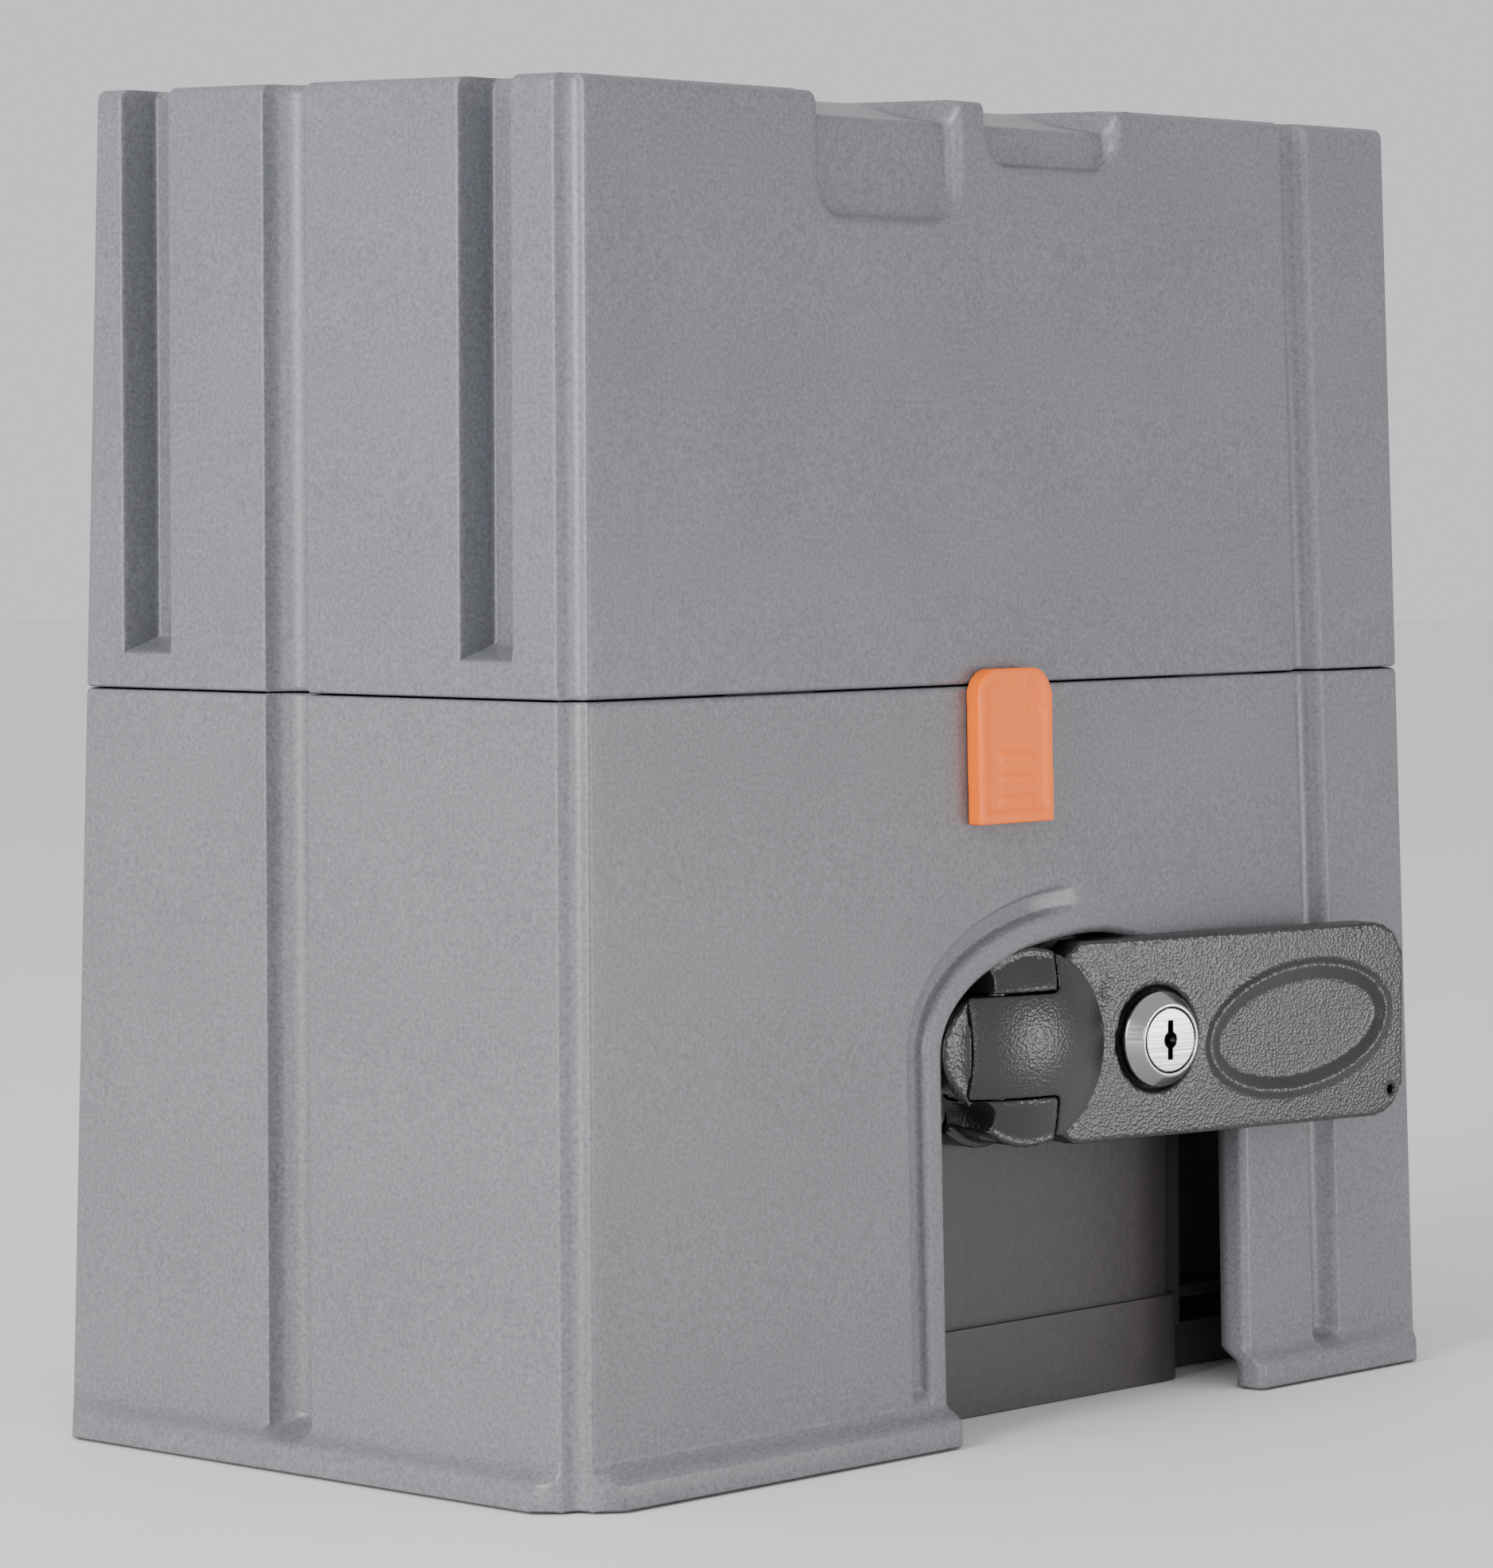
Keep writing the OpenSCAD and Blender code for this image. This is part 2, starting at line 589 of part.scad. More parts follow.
module lock_plug() color([0.85, 0.86, 0.88]) lever_frame()
    at_y(lock_x, -4.5, lock_z) difference() {
        union() {
            translate([0, 0, 0.1]) cylinder(r = 6.8, h = 0.6);
            translate([0, 0, 0.3]) cylinder(r = 5.9, h = 20.3);
            translate([-2.5, -2.5, 20]) cube([5, 5, 3.6]);
        }
        translate([-0.7, -4.2, -1]) cube([1.4, 8.4, 12]);
        translate([0, 0, -1]) cylinder(r = 1.8, h = 6);
    }
module lock_cam() color([0.7, 0.7, 0.72]) lever_frame()
    at_y(lock_x, 16.2, lock_z) difference() {
        union() {
            cylinder(r = 6, h = 2.2);
            translate([0, -4.5, 0]) cube([16.5, 9, 2.2]);
        }
        translate([-2.52, -2.52, -1]) cube([5.04, 5.04, 5]);
    }
module lock_keeper() color([0.6, 0.6, 0.62]) difference() {
    union() {
        translate([24, gear_y0 - 3.1, 91]) cube([38, 3, 11.5]);
        translate([29, -69.4, 99.5]) cube([14, 13, 3]);
        translate([29, -69.4, 90]) cube([14, 2.6, 12.5]);
    }
    for (x = [48, 57]) tube_y(x, 96, -60, -50, 1.8);
}

// ---- motor ----
module worm_shaft() color([0.64, 0.65, 0.67]) translate([worm_x, 0, 0]) {
    translate([0, 0, 43]) cylinder(r = 5.97, h = 11);
    translate([0, 0, 52]) cylinder(r = 8, h = 14.5);
    translate([0, 0, shaft_z - 15]) linear_extrude(30, twist = -360 * 30 / worm_lead,
        slices = 76, $fn = 18) rotate(180 - 15 / worm_lead * 360) translate([2.2, 0]) circle(r = 9.7);
    translate([0, 0, 95.5]) cylinder(r = 8.5, h = 23.3);
    translate([0, 0, 118]) cylinder(r = 7.47, h = 20);
    translate([0, 0, 137]) cylinder(r = 8.5, h = 80);
    translate([0, 0, 216]) cylinder(r = 5.97, h = 9.8);
}
module worm_bearing() color([0.75, 0.76, 0.78]) translate([worm_x, 0, 42.2]) bearing(6, 14, 8);
module rotor_core() color([0.5, 0.51, 0.53]) translate([worm_x, 0, stator_z]) difference() {
    cylinder(r = 24.5, h = stator_h);
    translate([0, 0, -1]) cylinder(r = 8.52, h = stator_h + 2);
    for (a = [0 : 30 : 330]) rotate([0, 0, a]) translate([20.5, 0, -1])
        cylinder(r = 1.6, h = stator_h + 2);
}
module motor_flange() color([0.72, 0.73, 0.74]) translate([worm_x, 0, gear_top + 0.1])
    difference() {
        union() {
            translate([-45, -45, 0]) cube([90, 90, 12]);
            cylinder(r = 44, h = stator_z - gear_top - 0.2);
            for (sx = [-1, 1], sy = [-1, 1]) translate([sx * 37, sy * 37, 0])
                cylinder(r = 7, h = stator_z - gear_top - 0.2);
        }
        difference() {
            translate([0, 0, 13]) cylinder(r = 40.5, h = 40);
            cylinder(r = 21, h = 17);
        }
        translate([0, 0, 1]) cylinder(r = 17.52, h = 30);
        translate([0, 0, -1]) cylinder(r = 12, h = 30);
        for (sx = [-1, 1], sy = [-1, 1]) translate([sx * 37, sy * 37, -1])
            cylinder(r = 2.75, h = 40);
    }
module flange_bearing() color([0.75, 0.76, 0.78]) translate([worm_x, 0, 119.3])
    bearing(7.5, 17.5, 11);
module stator_core() color([0.45, 0.46, 0.48]) translate([worm_x, 0, stator_z]) difference() {
    translate([-stator_w / 2, -stator_w / 2, 0]) cube([stator_w, stator_w, stator_h]);
    translate([0, 0, -1]) cylinder(r = 25.1, h = stator_h + 2);
    for (a = [15 : 30 : 345]) rotate([0, 0, a]) translate([27, -2, -1])
        cube([8, 4, stator_h + 2]);
    for (sx = [-1, 1], sy = [-1, 1]) translate([sx * 37, sy * 37, -1])
        cylinder(r = 2.75, h = stator_h + 2);
}
module winding() {
    rotate_extrude() translate([33, 0]) {
        translate([0, 5.5]) circle(r = 5.4);
        translate([-5.4, -0.5]) square([10.8, 6]);
    }
}
module lower_winding() color([0.72, 0.38, 0.18]) translate([worm_x, 0, stator_z - 0.6])
    rotate([180, 0, 0]) winding();
module upper_winding() color([0.72, 0.38, 0.18])
    translate([worm_x, 0, stator_z + stator_h + 0.6]) winding();
module motor_end_cap() color([0.72, 0.73, 0.74])
    translate([worm_x, 0, stator_z + stator_h + 0.1]) difference() {
        union() {
            cylinder(r = 44, h = 26);
            for (sx = [-1, 1], sy = [-1, 1]) translate([sx * 37, sy * 37, 0])
                cylinder(r = 7, h = 24);
            translate([-37, -44, 0]) cube([74, 88, 24]);
            translate([-44, -37, 0]) cube([88, 74, 24]);
        }
        translate([0, 0, -1]) difference() {
            cylinder(r = 40.5, h = 19);
            translate([0, 0, 13.5]) cylinder(r = 20, h = 10);
        }
        translate([0, 0, -1]) cylinder(r = 16.02, h = 24);
        for (sx = [-1, 1], sy = [-1, 1]) translate([sx * 37, sy * 37, -1])
            cylinder(r = 2.75, h = 40);
    }
module cap_bearing() color([0.75, 0.76, 0.78])
    translate([worm_x, 0, stator_z + stator_h + 14]) bearing(6, 16, 9);
module motor_bolts() color([0.7, 0.7, 0.72]) for (sx = [-1, 1], sy = [-1, 1])
    translate([worm_x + sx * 37, sy * 37, 0]) {
        translate([0, 0, gear_top - 12]) cylinder(r = 2.05, h = 121.2);
        translate([0, 0, stator_z + stator_h + 24.1]) difference() {
            cylinder(r = 4.2, h = 4);
            translate([0, 0, 2]) cylinder(r = 2.2, h = 4, $fn = 6);
        }
    }

// ---- electrics ----
board_x0 = -118;
board_x1 = -10;
board_z0 = 126;
board_z1 = 232;
post_xz = [[-113, 131], [-15, 131], [-113, 227], [-15, 227]];
module board_tray() color([0.16, 0.16, 0.17]) difference() {
    union() {
        slab_y(board_y + 3.6, board_y + 6.6) round_box(board_x0, -8, 120, 236, 4);
        translate([-84, board_y + 3.6, 10.1]) cube([32, 3, 116]);
        translate([-84, board_y + 0.6, 10.1]) cube([32, 6, 3]);
        for (x = [-84, -55]) translate([x, board_y + 3.6, 10.1]) cube([3, 10, 112]);
        for (p = post_xz) tube_y(p[0], p[1], board_y + 1.7, board_y + 4, 3.5);
    }
    for (p = post_xz) tube_y(p[0], p[1], board_y, board_y + 6, 1.3);
    for (x = [-80, -56]) translate([x, -36.5, 5]) cylinder(r = 1.7, h = 9);
}
module control_board() color([0.08, 0.3, 0.16]) difference() {
    translate([board_x0 + 1, board_y, board_z0]) cube([board_x1 - board_x0 - 2, 1.6, 106]);
    for (p = post_xz) tube_y(p[0], p[1], board_y - 1, board_y + 3, 1.7);
}
module board_screws() color([0.7, 0.7, 0.72]) for (p = post_xz) {
    tube_y(p[0], p[1], board_y - 0.1, board_y + 5.5, 1.25);
    tube_y(p[0], p[1], board_y - 2.1, board_y - 0.05, 2.8);
}
module transformer() color([0.35, 0.36, 0.38]) {
    translate([-106, board_y - 22.1, 176]) cube([40, 22, 34]);
    translate([-102, board_y - 24.6, 182]) cube([32, 2.6, 22]);
}
module relays() color([0.12, 0.22, 0.5]) for (x = [-58, -40, -22])
    translate([x - 7.5, board_y - 15.1, 192]) cube([15, 15, 19]);
module terminal_strip() color([0.12, 0.5, 0.25]) difference() {
    translate([-100, board_y - 12.1, 137]) cube([70, 12, 11]);
    for (i = [0 : 11]) {
        tube_y(-97 + i * 5.8, 144.6, board_y - 13, board_y - 9, 1.6);
        translate([-98.6 + i * 5.8, board_y - 10, 136]) cube([3.2, 6, 4]);
    }
}
module button_base(x) {
    translate([x, board_y - 3.6, 164]) rotate([-90, 0, 0]) cylinder(r = 1.7, h = 3.1);
}
module program_button() color([0.8, 0.12, 0.1]) button_base(-50);
module travel_button() color([0.1, 0.1, 0.1]) button_base(-38);
module port_socket() color([0.13, 0.13, 0.14]) difference() {
    union() {
        translate([-15.6, -65.4, 134]) cube([16, 15.4, 15]);
        translate([-15.6, -52, 134.5]) cube([16, 2, 17.5]);
        translate([-15.6, -52, 136]) cube([3, -0.05 + board_y + 52, 16]);
    }
    translate([-13.6, -67, 137]) cube([12, 12, 9]);
}
module capacitor() color([0.85, 0.85, 0.83]) translate([-80, 20, 10.2]) {
    cylinder(r = 17.5, h = 70);
    translate([0, 0, 69.9]) cylinder(r = 15, h = 2);
    for (x = [-6, 6]) translate([x - 3, -0.4, 71]) cube([6, 0.8, 8]);
}
module capacitor_clamp() color([0.7, 0.7, 0.72]) difference() {
    union() {
        translate([-80, 20, 30]) cylinder(r = 19.2, h = 14);
        translate([-63, 19, 30]) cube([16.9, 2.4, 14]);
    }
    translate([-80, 20, 20]) cylinder(r = 17.53, h = 40);
}
module limit_sensor() color([0.15, 0.15, 0.16])
    translate([38, 61.1, 98]) cube([40, 9, 18]);
module sensor_bracket() color([0.7, 0.7, 0.72]) difference() {
    translate([44, gear_y1 + 8.1, 97]) cube([28, 2.9, 20]);
    for (x = [50, 66]) tube_y(x, 107, 50, 70, 1.8);
}
module cable_gland() color([0.14, 0.14, 0.15]) translate([-68, -14, 0]) difference() {
    union() {
        translate([0, 0, 0.6]) cylinder(r = 10.15, h = 22);
        translate([0, 0, 10.1]) cylinder(r = 13.5, h = 5, $fn = 6);
        translate([0, 0, 15.1]) cylinder(r = 12, h = 9);
    }
    translate([0, 0, -1]) cylinder(r = 6, h = 40);
}

lower_cover();
upper_cover();
port_cap();
gearbox_housing();
gearbox_cover();
gearbox_gasket();
gearbox_screws();
cover_screws();
front_bearing();
rear_bearing();
shaft_seal();
output_shaft();
worm_wheel();
output_pinion();
pinion_key();
pinion_washer();
pinion_bolt();
clutch_collar();
clutch_pin();
release_rod();
clutch_spring();
release_hub();
hub_screws();
hinge_pin();
release_lever();
lock_housing();
lock_nut();
lock_plug();
lock_cam();
lock_keeper();
worm_shaft();
worm_bearing();
rotor_core();
motor_flange();
motor_end_cap();
flange_bearing();
cap_bearing();
stator_core();
lower_winding();
upper_winding();
motor_bolts();
board_tray();
control_board();
transformer();
relays();
terminal_strip();
board_screws();
program_button();
travel_button();
port_socket();
capacitor();
capacitor_clamp();
limit_sensor();
sensor_bracket();
cable_gland();
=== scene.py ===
import json
import math

import bmesh
import bpy
import numpy as np
from mathutils import Matrix, Vector
from mathutils.geometry import delaunay_2d_cdt


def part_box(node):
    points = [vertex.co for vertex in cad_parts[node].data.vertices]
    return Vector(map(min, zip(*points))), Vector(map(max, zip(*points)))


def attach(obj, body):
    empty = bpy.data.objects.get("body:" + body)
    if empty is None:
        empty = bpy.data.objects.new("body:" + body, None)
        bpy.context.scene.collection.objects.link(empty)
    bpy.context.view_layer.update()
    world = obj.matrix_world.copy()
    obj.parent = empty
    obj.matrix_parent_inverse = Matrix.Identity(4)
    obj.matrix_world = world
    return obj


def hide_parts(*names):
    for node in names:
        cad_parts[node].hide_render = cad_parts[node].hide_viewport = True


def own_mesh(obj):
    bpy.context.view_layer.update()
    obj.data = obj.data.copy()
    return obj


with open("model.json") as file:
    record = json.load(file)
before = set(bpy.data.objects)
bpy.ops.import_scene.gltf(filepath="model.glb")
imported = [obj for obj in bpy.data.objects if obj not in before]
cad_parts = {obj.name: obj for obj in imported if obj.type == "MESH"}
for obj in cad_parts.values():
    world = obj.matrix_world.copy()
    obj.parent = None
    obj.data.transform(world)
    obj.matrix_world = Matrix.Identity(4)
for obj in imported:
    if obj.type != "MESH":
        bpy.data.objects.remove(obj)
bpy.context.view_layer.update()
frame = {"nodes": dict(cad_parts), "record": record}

MM = 0.001

# ---- sizes taken from the frame and the cover's own design, in millimetres ----
LOWER_BOX = [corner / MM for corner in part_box("lower_cover")]
UPPER_BOX = [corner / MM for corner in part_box("upper_cover")]
FLANGE_OUT = 4.3
HALF_W = LOWER_BOX[1].x - FLANGE_OUT
HALF_D = LOWER_BOX[1].y - FLANGE_OUT
DRAFT = 0.0204
WALL = 3.0
SHAFT_Z = 81.0
SEAM_GAP = 0.3
SEAM_Z = UPPER_BOX[0].z - SEAM_GAP
TOP_RISE = 3.5
TOP_Z = UPPER_BOX[1].z - TOP_RISE
TOP_EDGE = 2.4
SEAM_EDGE = 1.1
FLANGE_LOW = 5.0
FLANGE_HIGH = 9.0
CORNER_REACH = 9.5
FRONT_GROOVE_X = 102.0
SIDE_DRIFT = 0.0175
GROOVE_REACH = 8.5
CHANNEL_FOOT = 165.2
CHANNEL_FULL = 169.2

# ---- the photograph's camera, and the lights ----
CAMERA_PLACE = (-0.932493, -0.854683, 0.199471)
CAMERA_YAW = math.radians(47.29)
CAMERA_PITCH = math.radians(2.943)
CAMERA_ROLL = math.radians(-0.236)
CAMERA_LENS = 132.16
FLOOR_DROP = 0.0004
SKY_STRENGTH = 0.85
# name, place, target, size, power, tint: a big soft key from the left, a low glow that
# the lever's face mirrors, and a fill beside the camera
LIGHTS = [
    ("key", (-1.9, -0.15, 0.75), (0, 0, 0.14), (0.8, 1.3), 46.0, (1.0, 0.99, 0.98)),
    ("low", (0.43, -0.95, 0.03), (0, -0.09, 0.07), (0.32, 0.2), 3.4, (1.0, 1.0, 1.0)),
    ("fill", (-0.75, -1.1, 0.3), (0, -0.09, 0.08), (0.5, 0.5), 2.6, (1.0, 1.0, 1.0)),
]


def wall_x(z):
    """Half the cover's width at this height: the walls lean in by the draft."""
    return HALF_W - DRAFT * z


def wall_y(z):
    return HALF_D - DRAFT * z


def top_z(y):
    """Height of the lid's top, which rises a little towards the back."""
    return TOP_Z + TOP_RISE * (y + HALF_D) / (2 * HALF_D)


def ease(low, high, value):
    """Smooth step from 0 at low to 1 at high."""
    t = np.clip((np.asarray(value, float) - low) / (high - low), 0.0, 1.0)
    return t * t * (3 - 2 * t)


def link(obj):
    bpy.context.scene.collection.objects.link(obj)
    return obj


# ---- camera and lights ----
def make_camera():
    """The photograph's view: yaw from +Y towards +X, pitch down, roll about the look."""
    flat = math.cos(CAMERA_PITCH)
    look = np.array([
        math.sin(CAMERA_YAW) * flat, math.cos(CAMERA_YAW) * flat, -math.sin(CAMERA_PITCH),
    ])
    level = np.array([math.cos(CAMERA_YAW), -math.sin(CAMERA_YAW), 0.0])
    above = np.cross(level, look)
    right = level * math.cos(CAMERA_ROLL) + above * math.sin(CAMERA_ROLL)
    up = above * math.cos(CAMERA_ROLL) - level * math.sin(CAMERA_ROLL)
    data = bpy.data.cameras.new("camera")
    data.sensor_width = 36.0
    data.lens = CAMERA_LENS
    data.clip_start = 0.05
    camera = link(bpy.data.objects.new("camera", data))
    axes = Matrix([right, up, -look]).transposed()
    camera.matrix_world = Matrix.Translation(CAMERA_PLACE) @ axes.to_4x4()
    bpy.context.scene.camera = camera


def make_light(name, place, target, size, power, tint):
    data = bpy.data.lights.new(name, "AREA")
    data.shape = "RECTANGLE"
    data.size, data.size_y = size
    data.energy = power
    data.color = tint
    light = link(bpy.data.objects.new(name, data))
    aim = Vector(target) - Vector(place)
    light.location = place
    light.visible_camera = False
    light.rotation_euler = aim.to_track_quat("-Z", "Y").to_euler()


def new_piece(name, bm, material):
    """One mesh piece from a bmesh in millimetres."""
    bmesh.ops.scale(bm, vec=(MM, MM, MM), verts=bm.verts)
    mesh = bpy.data.meshes.new(name)
    bm.to_mesh(mesh)
    bm.free()
    for face in mesh.polygons:
        face.use_smooth = True
    mesh.materials.append(material)
    return link(bpy.data.objects.new(name, mesh))


# ---- materials ----
MOTTLE = 40
PEBBLE = 1500.0
BRUSH_ALONG, BRUSH_ACROSS = 40.0, 2600.0


def nodes_of(name):
    """A new material: itself, its tree, its shader, and the object's own coordinates."""
    material = bpy.data.materials.new(name)
    material.use_nodes = True
    tree = material.node_tree
    tree.nodes.clear()
    out = tree.nodes.new("ShaderNodeOutputMaterial")
    shader = tree.nodes.new("ShaderNodeBsdfPrincipled")
    tree.links.new(shader.outputs[0], out.inputs[0])
    where = tree.nodes.new("ShaderNodeTexCoord")
    return material, tree, shader, where.outputs["Object"]


def noise(tree, where, scale, detail, rough=0.5):
    node = tree.nodes.new("ShaderNodeTexNoise")
    node.inputs["Scale"].default_value = scale
    node.inputs["Detail"].default_value = detail
    node.inputs["Roughness"].default_value = rough
    tree.links.new(where, node.inputs["Vector"])
    return node.outputs["Fac"]


def stretch(tree, where, scale):
    node = tree.nodes.new("ShaderNodeMapping")
    node.inputs["Scale"].default_value = scale
    tree.links.new(where, node.inputs["Vector"])
    return node.outputs[0]


def ramp(tree, fac, stops):
    node = tree.nodes.new("ShaderNodeValToRGB")
    while len(node.color_ramp.elements) < len(stops):
        node.color_ramp.elements.new(0.5)
    for element, (place, colour) in zip(node.color_ramp.elements, stops):
        element.position = place
        element.color = (*colour, 1.0)
    tree.links.new(fac, node.inputs[0])
    return node.outputs[0]


def spread(tree, fac, low, high):
    """Maps a 0 to 1 factor onto a range, for roughness."""
    node = tree.nodes.new("ShaderNodeMapRange")
    node.inputs["To Min"].default_value = low
    node.inputs["To Max"].default_value = high
    tree.links.new(fac, node.inputs["Value"])
    return node.outputs[0]


def bump(tree, shader, height, distance, strength=1.0, under=None):
    node = tree.nodes.new("ShaderNodeBump")
    node.inputs["Distance"].default_value = distance
    node.inputs["Strength"].default_value = strength
    tree.links.new(height, node.inputs["Height"])
    if under is not None:
        tree.links.new(under, node.inputs["Normal"])
    tree.links.new(node.outputs[0], shader.inputs["Normal"])
    return node.outputs[0]


def shade(colour, factor):
    return tuple(min(1.0, c * factor) for c in colour)


def grained(name, colour, rough, grain, depth, contrast=0.12, metal=0.0):
    """A moulded, cast or painted surface: fine speckle, soft mottling and a fine bump."""
    material, tree, shader, where = nodes_of(name)
    fine = noise(tree, where, grain, 3.0, 0.6)
    broad = noise(tree, where, grain / MOTTLE, 2.0)
    mixed = tree.nodes.new("ShaderNodeMix")
    mixed.data_type = "FLOAT"
    mixed.inputs["Factor"].default_value = 0.12
    tree.links.new(fine, mixed.inputs[2])
    tree.links.new(broad, mixed.inputs[3])
    tone = ramp(tree, mixed.outputs[0], [
        (0.3, shade(colour, 1 - contrast)), (0.5, colour), (0.7, shade(colour, 1 + contrast)),
    ])
    tree.links.new(tone, shader.inputs["Base Color"])
    tree.links.new(spread(tree, broad, rough - 0.05, rough + 0.05), shader.inputs["Roughness"])
    bump(tree, shader, fine, depth)
    shader.inputs["Metallic"].default_value = metal
    return material


def leather_black(name):
    """Black plastic with a pebbled, leather-like moulded grain."""
    material, tree, shader, where = nodes_of(name)
    cells = tree.nodes.new("ShaderNodeTexVoronoi")
    cells.feature = "F1"
    cells.inputs["Scale"].default_value = PEBBLE
    tree.links.new(where, cells.inputs["Vector"])
    fine = noise(tree, where, PEBBLE, 3.0)
    broad = noise(tree, where, 45.0, 2.0)
    tone = ramp(tree, broad, [(0.35, (0.010, 0.009, 0.009)), (0.65, (0.019, 0.016, 0.015))])
    tree.links.new(tone, shader.inputs["Base Color"])
    tree.links.new(spread(tree, broad, 0.24, 0.34), shader.inputs["Roughness"])
    under = bump(tree, shader, cells.outputs["Distance"], 0.00012, 0.6)
    bump(tree, shader, fine, 0.00006, 0.5, under)
    shader.inputs["Specular IOR Level"].default_value = 0.6
    return material


def brushed(name, colour, rough, axis):
    """Metal with fine turning or brushing marks across one axis."""
    material, tree, shader, where = nodes_of(name)
    scale = [BRUSH_ALONG] * 3
    scale[axis] = BRUSH_ACROSS
    lines = noise(tree, stretch(tree, where, scale), 1.0, 2.0)
    stain = noise(tree, where, 60.0, 2.0)
    tone = ramp(tree, stain, [(0.3, shade(colour, 0.82)), (0.7, colour)])
    tree.links.new(tone, shader.inputs["Base Color"])
    tree.links.new(spread(tree, lines, rough - 0.08, rough + 0.1), shader.inputs["Roughness"])
    bump(tree, shader, lines, 0.00003, 0.4)
    shader.inputs["Metallic"].default_value = 1.0
    return material


def banded(name, colour, step, dark):
    """Stacked laminations or wound wire: fine bands along Z over a metal or lacquer tone."""
    material, tree, shader, where = nodes_of(name)
    wave = tree.nodes.new("ShaderNodeTexWave")
    wave.bands_direction = "Z"
    wave.inputs["Scale"].default_value = 1.0 / step / 2
    wave.inputs["Distortion"].default_value = 0.6
    tree.links.new(where, wave.inputs["Vector"])
    tone = ramp(tree, wave.outputs["Fac"], [(0.1, shade(colour, dark)), (0.6, colour)])
    tree.links.new(tone, shader.inputs["Base Color"])
    tree.links.new(spread(tree, wave.outputs["Fac"], 0.6, 0.38), shader.inputs["Roughness"])
    bump(tree, shader, wave.outputs["Fac"], 0.00015, 0.6)
    shader.inputs["Metallic"].default_value = 0.8
    return material


COVER = grained("cover_plastic", (0.150, 0.153, 0.174), 0.36, 1200.0, 0.00003, 0.3)
LOWER_COVER = grained("lower_cover_plastic", (0.156, 0.157, 0.172), 0.35, 1200.0, 0.00003, 0.3)
MATERIALS = {
    "cover_grey": COVER,
    "cap_orange": grained("cap_plastic", (1.0, 0.165, 0.0), 0.42, 900.0, 0.00004, 0.06),
    "gearbox_black": grained("gearbox_paint", (0.05, 0.044, 0.043), 0.42, 700.0, 0.00008, 0.14),
    "gasket_black": grained("gasket_rubber", (0.03, 0.03, 0.032), 0.75, 800.0, 0.00006, 0.1),
    "zinc_steel": brushed("zinc_plate", (0.66, 0.65, 0.62), 0.32, 2),
    "bearing_steel": brushed("bearing_ring", (0.72, 0.73, 0.75), 0.22, 1),
    "machined_steel": brushed("machined_steel", (0.5, 0.5, 0.51), 0.3, 1),
    "bronze": brushed("worm_bronze", (0.62, 0.42, 0.17), 0.34, 1),
    "spring_steel": brushed("spring_wire", (0.45, 0.45, 0.46), 0.3, 0),
    "lever_black": leather_black("lever_plastic"),
    "lock_chrome": brushed("lock_chrome", (0.36, 0.365, 0.38), 0.12, 2),
    "motor_aluminium": grained("cast_aluminium", (0.6, 0.61, 0.62), 0.45, 900.0, 0.0001, 0.1, 0.9),
    "laminations": banded("laminated_steel", (0.36, 0.37, 0.39), 0.001, 0.6),
    "winding_copper": banded("lacquered_copper", (0.6, 0.25, 0.09), 0.0009, 0.45),
    "tray_black": grained("tray_plastic", (0.035, 0.036, 0.038), 0.5, 900.0, 0.00005, 0.15),
    "board_green": grained("board_lacquer", (0.02, 0.16, 0.06), 0.3, 500.0, 0.00002, 0.25),
    "transformer_grey": grained("transformer_core", (0.2, 0.21, 0.23), 0.5, 600.0, 0.00008, 0.2),
    "relay_blue": grained("relay_case", (0.04, 0.12, 0.42), 0.35, 700.0, 0.00002, 0.08),
    "terminal_green": grained("terminal_plastic", (0.04, 0.38, 0.12), 0.45, 700.0, 0.00003, 0.08),
    "button_red": grained("button_plastic", (0.62, 0.03, 0.02), 0.35, 900.0, 0.00002, 0.06),
    "capacitor_white": grained("capacitor_case", (0.72, 0.72, 0.7), 0.4, 500.0, 0.00003, 0.05),
}


# ---- rounded profiles ----
def soft_line(points, sigma, tolerance=0.025, step=0.25):
    """A polyline rounded by a Gaussian of sigma millimetres, thinned to what its shape needs."""
    points = np.array(points, float)
    run = np.r_[0, np.cumsum(np.linalg.norm(np.diff(points, axis=0), axis=1))]
    count = int(run[-1] / step) + 1
    at = np.linspace(0, run[-1], count)
    line = np.c_[np.interp(at, run, points[:, 0]), np.interp(at, run, points[:, 1])]
    half = int(3 * sigma / step) + 1
    weights = np.exp(-0.5 * (np.arange(-half, half + 1) * step / sigma) ** 2)
    weights /= weights.sum()
    ramp_in = line[0] + np.arange(-half, 0)[:, None] * (line[1] - line[0])
    ramp_out = line[-1] + np.arange(1, half + 1)[:, None] * (line[-1] - line[-2])
    padded = np.vstack([ramp_in, line, ramp_out])
    soft = np.c_[
        np.convolve(padded[:, 0], weights, "valid"), np.convolve(padded[:, 1], weights, "valid"),
    ]
    return thin(soft, tolerance)


def thin(line, tolerance):
    """Drops the points of a polyline that lie within the tolerance of its chords."""
    if len(line) < 3:
        return line
    a, b = line[0], line[-1]
    along = (b - a) / max(np.linalg.norm(b - a), 1e-9)
    off = np.abs((line[:, 0] - a[0]) * along[1] - (line[:, 1] - a[1]) * along[0])
    far = int(off.argmax())
    if off[far] < tolerance:
        return np.array([a, b])
    return np.vstack([thin(line[:far + 1], tolerance)[:-1], thin(line[far:], tolerance)])


def groove_line(radius, centre, reach, sigma):
    """(along the wall, depth) of a round groove whose centre lies at this depth."""
    swing = math.acos(-centre / radius)
    angles = np.linspace(-swing, swing, 40)
    arc = [(radius * math.sin(a), centre + radius * math.cos(a)) for a in angles]
    return soft_line([(-reach, 0)] + arc + [(reach, 0)], sigma)


